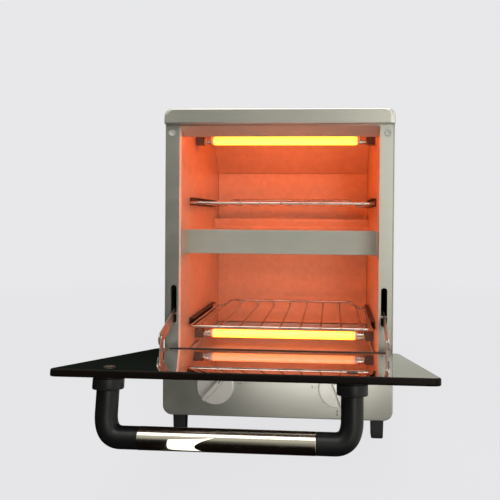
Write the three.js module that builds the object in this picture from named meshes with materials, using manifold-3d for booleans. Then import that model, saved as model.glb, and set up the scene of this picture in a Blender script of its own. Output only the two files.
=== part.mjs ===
// A compact two-tier countertop oven with a drop-down glass door, in millimetres.
// +Z is up and the front faces -Y. While it is built, Y = 0 is the front face of the jambs beside the
// opening, X = 0 is the middle and Z = 0 is the worktop. At the end the whole oven is moved along Y,
// so that the origin lies under the middle of its outer box with the door open.
import * as THREE from "three";
import { mergeVertices } from "three/addons/utils/BufferGeometryUtils.js";
import Module from "manifold-3d";

const wasm = await Module();
wasm.setup();

// ---- Driving dimensions ----

// Cabinet of bent steel sheet
const bodyWidth = 240;
const bodyTop = 343;
const bodyDepth = 240;
const footHeight = 22;
const sheet = 1;
const fit = 0.3; // clearance between two pieces that sit in or on each other
const hair = 0.05; // gap that only keeps two touching faces apart
const topCorner = 8.5;
const bottomCorner = 10;
const underFlange = 12;
const rearLip = 8;

// Front: proud header and control panel, flush jambs between them
const frontProud = 6.5;
const bandHeight = 16;
const panelHeight = 58;
const panEdge = 0.8; // radius of the edges of header and panel that face the opening
const jambWidth = 15;
const headerLap = 1; // from the header band down to the opening
const visorRun = 14; // the visor under the header runs this far back
const visorDrop = 10;
const hingeSpace = 8;
const openingCorner = 2;
const returnFlange = 7;

// Cavity
const floorHeight = 75.3;
const ceilingDrop = 14;
const cavityDepth = 208;
const reflectorRise = 38;
const reflectorRun = 33;

// Racks, and the channels that carry them
const rackWire = 1.5; // radius of the rim
const rackFillWire = 1.1; // radius of the wires inside the rim
const fillWires = 9;
const fillPitch = 22.3;
const rackFront = 30;
const rackBackGap = 26;
const rackSideGap = 2.3; // from the rim to the cavity wall
const rackRise = 7.5; // how far the back of the rim stands up
const rackCorner = 12; // from the side of the rim to where its back bar leaves it
const rackBendRun = 8; // along the back, while the bar rises
const rackWireSink = 0.4; // how far the ends of the inner wires go into the rim
const lowerRackHeight = 33.4; // above the cavity floor
const upperRackDrop = 83.4; // below the ceiling
const channelFront = 45;
const channelBackGap = 39;
const channelDepth = 5.3;
const channelSheet = 0.8;
const channelRoom = 4; // spare height in a channel above the rim

// Heaters: one quartz tube at the top, one between the tiers and one at the bottom
const tubeRadius = 4.75;
const tubeSetback = 77;
const holderSize = 10;
const holderInside = 9;
const holderOutside = 4.5;
const topTubeDrop = 9;
const middleTubeDrop = 126;
const bottomTubeHeight = 16.7;

// Guards round the middle heater
const guardSetback = 35;
const guardHeight = 26.5;
const guardReturn = 6;
const guardBottomDrop = 139.5;
const rearGuardGap = 28;
const rearGuardHeight = 31;
const rearGuardTopDrop = 101;
const guardBeadDrop = 9.3;
const guardBead = 4;
const ventDot = 1.1;
const ventDotPitch = 9.6;
const ventDots = 19;
const ventDotDrop = 5;

// Crumb tray, which slides out at the back
const traySheet = 0.8;
const trayWall = 6;
const trayFront = 10;
const trayLipHeight = 13;
const trayGrip = 7;

// Door of tempered glass on a rolled hinge rail
const doorOverhang = 5; // past each side of the cabinet
const glass = 5;
const glassCorner = 6;
const doorStandOff = 1.5; // from the jambs to the glass when the door is shut
const doorTopGap = 0.6;
const hingeRise = 7.2; // hinge axis above the top of the control panel
const doorOpen = 80.3; // degrees from upright
const barrel = 4;
const glassLift = 0.4; // from the barrel to the lower edge of the glass
const railGrip = 8; // on the outer face of the glass
const railLip = 1.6; // on its inner face
const railSheet = 0.8;
const railEndGap = 8; // from the end of the rail to the side of the cabinet
const rodRadius = 1.5;
const turnGap = 0.4; // clearance of a hole round what turns in it
const bracketSheet = 1.2;
const bracketGap = 4; // from the bracket to the side of the cabinet

// Ears on the door and the link arms that hold it open
const armLine = 9.5; // from the side of the cabinet to the middle of an arm's slot
const slotWidth = 6.5;
const slotBottom = 95.4; // above the underside of the cabinet
const slotHeight = 40.5;
const slotLip = 5; // depth of the bent edge round a slot
const slotLipSheet = 0.6;
const earReach = 11.27; // arm pin above the inner face of the glass
const earRise = 42.17; // arm pin from the hinge axis, along the door
const earBase = 11;
const earSheet = 1.2;
const earFoot = 3.5; // width of the foot on the glass
const earFootSheet = 0.8;
const earNose = 4;
const armSheet = 1.2;
const armWidth = 12.5;
const armSlope = 17.2; // degrees
const armStop = 8; // length of the pin that stops behind the slot
const armHead = 2.6;

// Handle
const handleSpread = 163;
const handleOffset = -11;
const handleDrop = 22; // below the top edge of the door
const handleStand = 40.1;
const collarRadius = 10.3;
const collarLength = 9.4;
const collarEdge = 0.6;
const legRadius = 7.4;
const handleBend = 17;
const handleShank = 23; // from the line of a post to the end of the tube
const tubeOuter = 7.5;
const tubeWall = 0.8;
const spigot = 8;
const handleScrew = 2.2;
const screwHead = 4;
const screwHeadHeight = 1;

// Knobs and what they turn
const knobSpread = 126;
const knobHeight = 33.3; // above the underside of the cabinet
const knobRadius = 19.3;
const knobGap = 0.8;
const knobSkirt = 4.2;
const gripHeight = 9;
const gripWidth = 7;
const gripSlim = 0.35; // share of its width that the grip loses towards its tip
const gripShort = 0.12; // share of its length
const knobEdge = 1.2;
const shaftRadius = 3;
const timerAngle = -20; // degrees clockwise from upright, seen from the front
const functionAngle = 42;
const controlWidth = 46;
const controlHeight = 32;
const controlDepth = 30;

// Feet, bumpers, vents, screws and the cord's inlet
const footTop = 13.3;
const footBottom = 12.4;
const footInset = 15.25; // centre of a foot from the side of the cabinet
const footSetback = 9.65; // centre of a foot from the front or back
const bumperRadius = 3.65;
const bumperInset = 7; // from the side of the cabinet
const bumperDrop = 8.8; // below the header band
const bumperStem = 1.5;
const louvreLength = 38;
const louvreHeight = 3;
const louvrePitch = 8;
const louvres = 8;
const backLouvreSpread = 51.3; // between the columns of vents in the back
const screwRadius = 1.5;
const backScrewInset = 6;
const inletRadius = 7;
const inletBore = 3.6;
const inletX = 78;
const inletHeight = 24;

// ---- Places that follow from them ----

const halfWidth = bodyWidth / 2;
const bandBottom = bodyTop - bandHeight;
const panelTop = footHeight + panelHeight;
const openingHalf = halfWidth - jambWidth;
const openingTop = bandBottom - headerLap;
const sill = panelTop + hingeSpace;
const ceiling = bodyTop - ceilingDrop;
const linerFront = sheet + returnFlange + fit;
const rackBack = cavityDepth - rackBackGap;
const rackSide = openingHalf - rackSideGap - rackWire;
const knobLine = footHeight + knobHeight;
const armX = halfWidth - armLine;
const hingeY = -doorStandOff - glass;
const hingeZ = panelTop + hingeRise;
const backFace = bodyDepth - fit;

// ---- Materials ----

const finish = (color, roughness, metalness) =>
  new THREE.MeshStandardMaterial({ color, roughness, metalness });
const satinSteel = finish(0xa9ab9f, 0.38, 0.85);
const zincSheet = finish(0xb9b4ac, 0.45, 0.8);
const darkSteel = finish(0x3a2f2b, 0.5, 0.7);
const chromeWire = finish(0xd8d2cc, 0.2, 1);
const quartz = finish(0xffd24a, 0.2, 0);
const ceramic = finish(0x6b4a3a, 0.8, 0);
const blackGlass = finish(0x0c0a0a, 0.05, 0);
const blackPlastic = finish(0x17171a, 0.5, 0);
const knobSilver = finish(0xc3bfb8, 0.35, 0.6);
const brightSteel = finish(0xd4cbb8, 0.25, 1);
const rubber = finish(0xb7b7b0, 0.6, 0);
const housing = finish(0xd9d4c6, 0.7, 0);

// ---- Joining and cutting ----

// A closed geometry as a solid: only its positions count, and a face that shrank to a line goes.
function solid(geometry) {
  const bare = geometry.index ? geometry.toNonIndexed() : geometry.clone();
  bare.deleteAttribute("normal");
  bare.deleteAttribute("uv");
  const merged = mergeVertices(bare, 1e-4);
  const corners = merged.index.array;
  const kept = [];
  for (let i = 0; i < corners.length; i += 3) {
    const [a, b, c] = corners.subarray(i, i + 3);
    if (a !== b && b !== c && c !== a) kept.push(a, b, c);
  }
  return new wasm.Manifold(
    new wasm.Mesh({
      numProp: 3,
      vertProperties: merged.attributes.position.array,
      triVerts: new Uint32Array(kept),
    }),
  );
}

// A solid back as a geometry that three.js can draw.
function drawn(body) {
  const mesh = body.getMesh();
  const geometry = new THREE.BufferGeometry();
  const stride = mesh.numProp;
  const points = new Float32Array(mesh.numVert * 3);
  for (let i = 0; i < mesh.numVert; i++) {
    points.set(mesh.vertProperties.subarray(i * stride, i * stride + 3), i * 3);
  }
  geometry.setAttribute("position", new THREE.BufferAttribute(points, 3));
  geometry.setIndex(new THREE.BufferAttribute(mesh.triVerts, 1));
  geometry.computeVertexNormals();
  return geometry;
}

const oven = new THREE.Group();

function place(name, body, material, group = oven) {
  const mesh = new THREE.Mesh(drawn(body), material);
  mesh.name = name;
  group.add(mesh);
  return mesh;
}

// ---- Basic shapes ----

function block(x0, x1, y0, y1, z0, z1) {
  const geometry = new THREE.BoxGeometry(x1 - x0, y1 - y0, z1 - z0);
  return solid(geometry.translate((x0 + x1) / 2, (y0 + y1) / 2, (z0 + z1) / 2));
}

// A rectangle with its lower and upper corners rounded by their own radii.
function plate(x0, x1, z0, z1, low = 0, high = low) {
  const shape = new THREE.Shape();
  shape.moveTo(x0 + low, z0);
  shape.lineTo(x1 - low, z0);
  if (low) shape.absarc(x1 - low, z0 + low, low, -Math.PI / 2, 0);
  shape.lineTo(x1, z1 - high);
  if (high) shape.absarc(x1 - high, z1 - high, high, 0, Math.PI / 2);
  shape.lineTo(x0 + high, z1);
  if (high) shape.absarc(x0 + high, z1 - high, high, Math.PI / 2, Math.PI);
  shape.lineTo(x0, z0 + low);
  if (low) shape.absarc(x0 + low, z0 + low, low, Math.PI, Math.PI * 1.5);
  return shape;
}

const outline = (points) => new THREE.Shape(points.map(([a, b]) => new THREE.Vector2(a, b)));

function disc(y, z, radius, sides = 16) {
  const points = [];
  for (let i = 0; i < sides; i++) {
    const angle = (2 * Math.PI * i) / sides;
    points.push([y + radius * Math.cos(angle), z + radius * Math.sin(angle)]);
  }
  return outline(points);
}

const straight = (shape, depth) =>
  new THREE.ExtrudeGeometry(shape, { depth, bevelEnabled: false, curveSegments: 6 });

// A shape drawn in X and Z, carried from y0 back to y1.
function alongY(shape, y0, y1) {
  return solid(straight(shape, y1 - y0).rotateX(Math.PI / 2).translate(0, y1, 0));
}

// A shape drawn in Y and Z, carried from x0 to x1.
function alongX(shape, x0, x1) {
  const turn = new THREE.Matrix4().makeBasis(
    new THREE.Vector3(0, 1, 0),
    new THREE.Vector3(0, 0, 1),
    new THREE.Vector3(1, 0, 0),
  );
  return solid(straight(shape, x1 - x0).applyMatrix4(turn).translate(x0, 0, 0));
}

// A round rod between two points.
function rod(from, to, radius, sides = 16) {
  const axis = new THREE.Vector3().subVectors(to, from);
  const geometry = new THREE.CylinderGeometry(radius, radius, axis.length(), sides);
  const up = new THREE.Vector3(0, 1, 0);
  const turn = new THREE.Quaternion().setFromUnitVectors(up, axis.clone().normalize());
  const middle = new THREE.Vector3().addVectors(from, to).multiplyScalar(0.5);
  geometry.applyQuaternion(turn).translate(middle.x, middle.y, middle.z);
  return solid(geometry);
}

const rodX = (x0, x1, y, z, radius, sides) =>
  rod(new THREE.Vector3(x0, y, z), new THREE.Vector3(x1, y, z), radius, sides);
const rodY = (x, y0, y1, z, radius, sides) =>
  rod(new THREE.Vector3(x, y0, z), new THREE.Vector3(x, y1, z), radius, sides);

// A profile of [radius, y] turned round a line along Y through x and z.
function turned(profile, x, z, sides = 24) {
  const points = profile.map(([r, y]) => new THREE.Vector2(r, y));
  return solid(new THREE.LatheGeometry(points, sides).translate(x, 0, z));
}

// A path through given corners, each rounded by an arc-like bend, with a step only where it bends.
class BentPath extends THREE.Curve {
  constructor(corners, radius, bendSteps) {
    super();
    this.stops = [corners[0]];
    for (let i = 1; i < corners.length - 1; i++) {
      const corner = corners[i];
      const before = new THREE.Vector3().subVectors(corners[i - 1], corner);
      const after = new THREE.Vector3().subVectors(corners[i + 1], corner);
      const half = before.angleTo(after) / 2;
      const reach = Math.min(radius / Math.tan(half), before.length() / 2.01, after.length() / 2.01);
      const bend = new THREE.QuadraticBezierCurve3(
        corner.clone().addScaledVector(before.normalize(), reach),
        corner,
        corner.clone().addScaledVector(after.normalize(), reach),
      );
      this.stops.push(...bend.getPoints(bendSteps));
    }
    this.stops.push(corners[corners.length - 1]);
  }
  getPoint(t) {
    const at = t * (this.stops.length - 1);
    const i = Math.min(Math.floor(at), this.stops.length - 2);
    return new THREE.Vector3().lerpVectors(this.stops[i], this.stops[i + 1], at - i);
  }
  getPointAt(u) {
    return this.getPoint(u);
  }
  getSpacedPoints() {
    return this.stops.map((stop) => stop.clone());
  }
  getTangentAt(u) {
    const i = Math.round(u * (this.stops.length - 1));
    const back = this.stops[Math.max(i - 1, 0)];
    const here = this.stops[i];
    const on = this.stops[Math.min(i + 1, this.stops.length - 1)];
    const come = new THREE.Vector3().subVectors(here, back).normalize();
    const go = new THREE.Vector3().subVectors(on, here).normalize();
    return come.add(go).normalize();
  }
}

// A round wire or rod bent through the given corners.
function bent(corners, radius, bend, sides = 8, bendSteps = 5) {
  const path = new BentPath(
    corners.map((c) => new THREE.Vector3(...c)),
    bend,
    bendSteps,
  );
  const options = { steps: path.stops.length - 1, extrudePath: path, bevelEnabled: false };
  return solid(new THREE.ExtrudeGeometry(disc(0, 0, radius, sides), options));
}

const sides = [
  ["left", -1],
  ["right", 1],
];

// ---- Outer shell: wrap, back panel and base ----

// Sheet outline of the cabinet, brought in by a margin on every side.
function cabinetOutline(margin) {
  return plate(
    -halfWidth + margin,
    halfWidth - margin,
    footHeight + margin,
    bodyTop - margin,
    Math.max(bottomCorner - margin, 0),
    Math.max(topCorner - margin, 0),
  );
}

function louvreRow(cutter) {
  let row = null;
  for (let i = 0; i < louvres; i++) {
    const slot = cutter(i);
    row = row ? row.add(slot) : slot;
  }
  return row;
}

const backLipFace = backFace - sheet - fit;
const screwX = halfWidth - sheet - backScrewInset;
const screwPlaces = [];
for (const [side, sign] of sides) {
  screwPlaces.push([`lower_${side}`, sign * screwX, footHeight + 3 * bottomCorner]);
  screwPlaces.push([`upper_${side}`, sign * screwX, bodyTop - 3 * topCorner]);
}

function outerWrap() {
  const skin = alongY(cabinetOutline(0), 0, bodyDepth).subtract(
    alongY(cabinetOutline(sheet), -1, bodyDepth + 1),
  );
  const openHalf = halfWidth - bottomCorner - underFlange;
  const mouth = block(-openHalf, openHalf, -1, backLipFace - 2 * sheet, 0, footHeight + 2 * sheet);
  const lip = alongY(cabinetOutline(sheet / 2), backLipFace - sheet, backLipFace).subtract(
    alongY(cabinetOutline(sheet + rearLip), backLipFace - 2 * sheet, bodyDepth),
  );
  let wrap = skin.subtract(mouth).add(lip);
  for (const [, x, z] of screwPlaces) {
    wrap = wrap.subtract(rodY(x, backLipFace - 3, backLipFace + 1, z, screwRadius + fit, 8));
  }
  const firstLouvre = bodyDepth / 2 - ((louvres - 1) * louvrePitch) / 2;
  for (const [, sign] of sides) {
    const x = sign * halfWidth;
    const vents = louvreRow((i) => {
      const y = firstLouvre + i * louvrePitch;
      return block(x - 3, x + 3, y, y + louvreHeight, knobLine - 12, knobLine + 12);
    });
    wrap = wrap.subtract(vents);
  }
  place("outer_wrap", wrap, satinSteel);
}

const traySlotHalf = openingHalf - fit;
const traySlotTop = floorHeight + trayWall + 2 * fit;
const trayUnder = floorHeight - traySheet;

function backPanel() {
  let panel = alongY(cabinetOutline(sheet + fit), backFace - sheet, backFace);
  const slotFloor = trayUnder - 2 * fit;
  panel = panel.subtract(
    block(-traySlotHalf, traySlotHalf, backFace - 5, backFace + 5, slotFloor, traySlotTop),
  );
  const inlet = rodY(inletX, backFace - 5, backFace + 5, footHeight + inletHeight, inletRadius + fit);
  panel = panel.subtract(inlet);
  for (const [, x, z] of screwPlaces) {
    panel = panel.subtract(rodY(x, backFace - 5, backFace + 5, z, screwRadius + fit, 8));
  }
  const middle = (traySlotTop + bodyTop) / 2;
  for (const centre of [-backLouvreSpread, 0, backLouvreSpread]) {
    const vents = louvreRow((i) => {
      const z = middle + (i - louvres / 2) * louvrePitch * 1.5;
      const half = louvreLength / 2;
      return block(centre - half, centre + half, backFace - 5, backFace + 5, z, z + louvreHeight);
    });
    panel = panel.subtract(vents);
  }
  place("back_panel", panel, zincSheet);
  for (const [where, x, z] of screwPlaces) {
    const screw = turned(
      [
        [0, backFace - 6],
        [screwRadius, backFace - 6],
        [screwRadius, backFace + hair],
        [screwRadius * 2, backFace + hair],
        [screwRadius * 2, backFace + 1.2],
        [screwRadius * 1.2, backFace + 1.9],
        [0, backFace + 1.9],
      ],
      x,
      z,
      12,
    );
    place(`back_screw_${where}`, screw, brightSteel);
  }
}

function basePlate() {
  const half = halfWidth - bottomCorner + sheet;
  const low = footHeight + sheet + fit;
  let base = block(-half, half, sheet + fit, backLipFace - sheet - fit, low, low + sheet);
  const first = bodyDepth / 2 - ((louvres - 1) * louvrePitch) / 2;
  for (const [, sign] of sides) {
    const x = sign * (halfWidth / 2);
    const vents = louvreRow((i) => {
      const y = first + i * louvrePitch;
      const end = louvreLength / 2;
      return block(x - end, x + end, y, y + louvreHeight, low - 3, low + 3);
    });
    base = base.subtract(vents);
  }
  place("base_plate", base, zincSheet);
}

function feet() {
  const rows = [
    ["front", footSetback],
    ["rear", bodyDepth - footSetback],
  ];
  for (const [side, sign] of sides) {
    for (const [row, y] of rows) {
      const height = footHeight - hair;
      const ring = Math.SQRT1_2;
      const post = new THREE.CylinderGeometry(footTop * ring, footBottom * ring, height, 4);
      post.rotateY(Math.PI / 4).rotateX(Math.PI / 2);
      post.translate(sign * (halfWidth - footInset), y, height / 2);
      place(`foot_${row}_${side}`, solid(post), blackPlastic);
    }
  }
}

// ---- Front: frame with its opening, header band and control panel ----

// A sheet that slopes down and back from the top edge of the opening, and shades the upper heater.
function visor() {
  const length = Math.hypot(visorRun, visorDrop);
  const thickY = (sheet * visorDrop) / length;
  const thickZ = (sheet * visorRun) / length;
  const slope = outline([
    [0, openingTop],
    [visorRun, openingTop - visorDrop],
    [visorRun + thickY, openingTop - visorDrop + thickZ],
    [thickY, openingTop + thickZ],
  ]);
  return alongX(slope, fit - openingHalf, openingHalf - fit);
}

function frontFrame() {
  const hole = plate(-openingHalf, openingHalf, sill, openingTop, openingCorner);
  const rim = plate(
    -openingHalf - sheet,
    openingHalf + sheet,
    sill - sheet,
    openingTop + sheet,
    openingCorner + sheet,
  );
  let frame = alongY(cabinetOutline(sheet + fit), 0, sheet);
  frame = frame.add(alongY(rim, sheet / 2, sheet + returnFlange));
  frame = frame.subtract(alongY(hole, -5, 5 * returnFlange));
  frame = frame.add(visor());
  const slotLow = footHeight + slotBottom;
  const slotShape = (x, wall) => {
    const half = slotWidth / 2 + wall;
    return plate(x - half, x + half, slotLow - wall, slotLow + slotHeight + wall, half);
  };
  for (const [, sign] of sides) {
    const x = sign * armX;
    frame = frame.add(alongY(slotShape(x, slotLipSheet), sheet / 2, slotLip));
    frame = frame.subtract(alongY(slotShape(x, 0), -5, slotLip + 5));
    const shaft = rodY((sign * knobSpread) / 2, -5, 5, knobLine, shaftRadius + 2 * turnGap);
    frame = frame.subtract(shaft);
    const stem = rodY(sign * (halfWidth - bumperInset), -5, 5, bandBottom - bumperDrop, bumperStem + turnGap, 12);
    frame = frame.subtract(stem);
  }
  place("front_frame", frame, satinSteel);
}

// A shallow pan that stands proud of the jambs, open at the back.
function proudPan(outer, inner) {
  return alongY(outer, -frontProud, -fit).subtract(alongY(inner, sheet - frontProud, 1));
}

function headerBand() {
  const outer = plate(-halfWidth, halfWidth, bandBottom, bodyTop, panEdge, topCorner);
  const inner = plate(
    sheet - halfWidth,
    halfWidth - sheet,
    bandBottom + sheet,
    bodyTop - sheet,
    panEdge / 2,
    topCorner - sheet,
  );
  place("header_band", proudPan(outer, inner), satinSteel);
}

function controlPanel() {
  const outer = plate(-halfWidth, halfWidth, footHeight, panelTop, bottomCorner, panEdge);
  const inner = plate(
    sheet - halfWidth,
    halfWidth - sheet,
    footHeight + sheet,
    panelTop - sheet,
    bottomCorner - sheet,
    panEdge / 2,
  );
  let panel = proudPan(outer, inner);
  for (const [, sign] of sides) {
    const x = (sign * knobSpread) / 2;
    panel = panel.subtract(rodY(x, -20, 5, knobLine, shaftRadius + 2 * turnGap));
  }
  place("control_panel", panel, satinSteel);
}

function bumpers() {
  const tip = fit - doorStandOff;
  for (const [side, sign] of sides) {
    const button = turned(
      [
        [0, tip],
        [bumperRadius - 0.5, tip],
        [bumperRadius, tip + 0.4],
        [bumperRadius, -hair],
        [bumperStem, -hair],
        [bumperStem, sheet + bumperStem],
        [0, sheet + bumperStem],
      ],
      sign * (halfWidth - bumperInset),
      bandBottom - bumperDrop,
      16,
    );
    place(`bumper_${side}`, button, rubber);
  }
}

// ---- Cavity liner ----

const tubeLevels = [
  ["top", ceiling - topTubeDrop],
  ["middle", ceiling - middleTubeDrop],
  ["bottom", floorHeight + bottomTubeHeight],
];
const linerBottom = floorHeight - traySheet - fit - sheet;

function cavityLiner() {
  const back = cavityDepth + sheet;
  const half = openingHalf;
  let shell = block(-half - sheet, half + sheet, linerFront, back, linerBottom, ceiling + sheet);
  shell = shell.subtract(block(-half, half, 0, back + 5, linerBottom - 5, ceiling));
  const reach = (holderSize + fit) / 2;
  for (const [, z] of tubeLevels) {
    const low = z - reach;
    const high = z + reach;
    const far = 2 * half;
    shell = shell.subtract(
      block(-far, far, tubeSetback - reach, tubeSetback + reach, low, high),
    );
  }
  place("liner_shell", shell, zincSheet);

  const inner = half - fit;
  const slantLow = ceiling - reflectorRise;
  const wall = block(-inner, inner, cavityDepth, back, traySlotTop + fit, slantLow);
  place("liner_back", wall, zincSheet);

  const slope = Math.atan2(reflectorRise, reflectorRun);
  const thickY = sheet * Math.sin(slope);
  const thickZ = sheet * Math.cos(slope);
  const slant = outline([
    [cavityDepth - fit, slantLow + fit],
    [cavityDepth - fit + thickY, slantLow + fit + thickZ],
    [cavityDepth - reflectorRun + thickY, ceiling - fit],
    [cavityDepth - reflectorRun - fit, ceiling - fit - thickZ],
  ]);
  place("rear_reflector", alongX(slant, -inner, inner), zincSheet);

  const floor = block(
    -inner,
    inner,
    linerFront,
    backLipFace - sheet - 2 * fit,
    linerBottom,
    linerBottom + sheet,
  );
  place("liner_floor", floor, zincSheet);
}

// ---- Racks and their channels ----

const rackLevels = [
  ["upper", ceiling - upperRackDrop],
  ["lower", floorHeight + lowerRackHeight],
];

function channels() {
  const wall = openingHalf - 0.2;
  const tip = wall - channelDepth;
  for (const [level, z] of rackLevels) {
    const low = z - rackWire - 0.2;
    const high = z + rackWire + channelRoom;
    for (const [side, sign] of sides) {
      const out = outline([
        [tip, low - channelSheet],
        [wall, low - channelSheet],
        [wall, high + channelSheet],
        [tip, high + channelSheet],
        [tip, high],
        [wall - channelSheet, high],
        [wall - channelSheet, low],
        [tip, low],
      ]);
      let channel = alongY(out, channelFront, cavityDepth - channelBackGap);
      if (sign < 0) channel = channel.mirror([1, 0, 0]);
      place(`rack_channel_${level}_${side}`, channel, darkSteel);
    }
  }
}

// The rim runs round level and its back bar stands up; the fill wires rise to meet that bar.
function rack(level, z) {
  const rise = z + rackRise;
  const barEnd = rackSide - rackCorner - rackBendRun;
  let body = null;
  for (const [, sign] of sides) {
    const half = bent(
      [
        [-sign * rackWire, rackFront, z],
        [sign * rackSide, rackFront, z],
        [sign * rackSide, rackBack, z],
        [sign * (rackSide - rackCorner), rackBack, z],
        [sign * barEnd, rackBack, rise],
        [-sign * rackWire, rackBack, rise],
      ],
      rackWire,
      7,
    );
    body = body ? body.add(half) : half;
  }
  for (let i = 0; i < fillWires; i++) {
    const x = (i - (fillWires - 1) / 2) * fillPitch;
    const low = z + rackWire - rackFillWire;
    const corners = [
      [x, rackFront - rackWireSink, low],
      [x, rackBack - rackWireSink, low],
    ];
    if (Math.abs(x) < barEnd) corners.push([x, rackBack - rackWireSink, rise]);
    const wire = bent(corners, rackFillWire, 4, 6, 3);
    body = body.add(wire);
  }
  place(`${level}_rack`, body, chromeWire);
}

// ---- Heaters and the guards of the middle one ----

function heaters() {
  const inner = openingHalf - holderInside;
  const outer = openingHalf + holderOutside;
  const half = holderSize / 2;
  for (const [level, z] of tubeLevels) {
    const tube = rodX(fit - inner, inner - fit, tubeSetback, z, tubeRadius);
    place(`heater_tube_${level}`, tube, quartz);
    for (const [side, sign] of sides) {
      const x0 = sign < 0 ? -outer : inner;
      const x1 = sign < 0 ? -inner : outer;
      const holder = block(x0, x1, tubeSetback - half, tubeSetback + half, z - half, z + half);
      place(`heater_holder_${level}_${side}`, holder, ceramic);
    }
  }
}

function guards() {
  const end = openingHalf - fit;
  const low = ceiling - guardBottomDrop;
  const high = low + guardHeight;
  const front = guardSetback;
  let strip = block(-end, end, front, front + guardReturn, low, high).subtract(
    block(-end - 5, end + 5, front + sheet, front + 2 * guardReturn, low + sheet, high - sheet),
  );
  // Its two wings run forward along the walls to the front of the cavity.
  const wingFront = linerFront + fit;
  strip = strip.add(block(-end, sheet - end, wingFront, front + sheet, low, high));
  strip = strip.add(block(end - sheet, end, wingFront, front + sheet, low, high));
  place("middle_front_guard", strip, zincSheet);

  const back = cavityDepth - rearGuardGap;
  const top = ceiling - rearGuardTopDrop;
  const foot = top - rearGuardHeight;
  const beadTop = top - guardBeadDrop;
  let guard = block(-end, end, back, back + sheet, foot, top);
  guard = guard.add(block(-end, end, back - 8, back + sheet, foot, foot + sheet));
  guard = guard.add(block(-end, end, back - 3, back + sheet / 2, beadTop - guardBead, beadTop));
  for (let i = 0; i < ventDots; i++) {
    const x = (i - (ventDots - 1) / 2) * ventDotPitch;
    guard = guard.subtract(rodY(x, back - 5, back + 5, top - ventDotDrop, ventDot, 6));
  }
  place("middle_rear_guard", guard, zincSheet);
}

// ---- Crumb tray ----

function crumbTray() {
  const half = openingHalf - 4 * fit;
  const back = cavityDepth - 2 * fit;
  const rim = floorHeight + trayWall;
  let tray = block(-half, half, trayFront, back, trayUnder, rim);
  tray = tray.subtract(
    block(
      traySheet - half,
      half - traySheet,
      trayFront + traySheet,
      back - traySheet,
      floorHeight,
      rim + 5,
    ),
  );
  const tongue = half - 4;
  const lipFront = backFace + fit;
  tray = tray.add(block(-tongue, tongue, back - 5, lipFront + traySheet, trayUnder, floorHeight));
  const lipLow = trayUnder - (trayLipHeight - trayWall - traySheet) / 2;
  const lipHalf = traySlotHalf + 3;
  const lipHigh = lipLow + trayLipHeight;
  tray = tray.add(block(-lipHalf, lipHalf, lipFront, lipFront + traySheet, lipLow, lipHigh));
  const grip = block(-30, 30, lipFront, lipFront + trayGrip, lipHigh - traySheet, lipHigh);
  place("crumb_tray", tray.add(grip), zincSheet);
}

// ---- Timer, function switch, their shafts and knobs ----

function controls() {
  const face = sheet + fit;
  const controlsBySide = [
    ["function", -1, functionAngle, "function_switch"],
    ["timer", 1, timerAngle, "timer"],
  ];
  for (const [name, sign, angle, device] of controlsBySide) {
    const x = (sign * knobSpread) / 2;
    const wide = controlWidth / 2;
    const tall = controlHeight / 2;
    const body = block(
      x - wide,
      x + wide,
      face + 1,
      face + 1 + controlDepth,
      knobLine - tall,
      knobLine + tall,
    );
    place(device, body, housing);

    const dial = new THREE.Group();
    dial.position.set(x, 0, knobLine);
    dial.rotation.y = THREE.MathUtils.degToRad(angle);
    oven.add(dial);
    const rear = -frontProud - knobGap;
    const front = rear - knobSkirt;
    const shaftEnd = front - 1.5;
    place(`${name}_shaft`, rodY(0, shaftEnd, face + 0.7, 0, shaftRadius), brightSteel, dial);

    const skirt = turned(
      [
        [0, front - knobEdge],
        [knobRadius - 2 * knobEdge, front - knobEdge],
        [knobRadius - knobEdge / 2, front],
        [knobRadius, front + knobEdge],
        [knobRadius, rear],
        [0, rear],
      ],
      0,
      0,
      40,
    );
    const half = gripWidth / 2;
    const long = knobRadius - 1;
    const grip = straight(plate(-half, half, -long, long, half - 0.6), gripHeight);
    const root = front - knobEdge / 2;
    grip.rotateX(Math.PI / 2).translate(0, root, 0);
    const slim = grip.attributes.position;
    for (let i = 0; i < slim.count; i++) {
      const out = (root - slim.getY(i)) / gripHeight;
      slim.setX(i, slim.getX(i) * (1 - gripSlim * out));
      slim.setZ(i, slim.getZ(i) * (1 - gripShort * out));
    }
    const socket = rodY(0, shaftEnd - 0.3, rear + 5, 0, shaftRadius + 0.2);
    place(`${name}_knob`, skirt.add(solid(grip)).subtract(socket), knobSilver, dial);
  }
}

// ---- Door: everything below is drawn shut, round the hinge axis, then turned open ----

const door = new THREE.Group();
door.position.set(0, hingeY, hingeZ);
door.rotation.x = THREE.MathUtils.degToRad(doorOpen);
oven.add(door);

const glassBottom = barrel + glassLift;
const glassTop = bandBottom - doorTopGap - hingeZ;
const handleLine = glassTop - handleDrop;

function doorGlass() {
  const half = halfWidth + doorOverhang;
  let pane = alongY(plate(-half, half, glassBottom, glassTop, glassCorner), 0, glass);
  for (const [, sign] of sides) {
    const x = handleOffset + (sign * handleSpread) / 2;
    pane = pane.subtract(rodY(x, -5, glass + 5, handleLine, handleScrew + fit, 12));
  }
  place("door_glass", pane, blackGlass, door);
}

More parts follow.
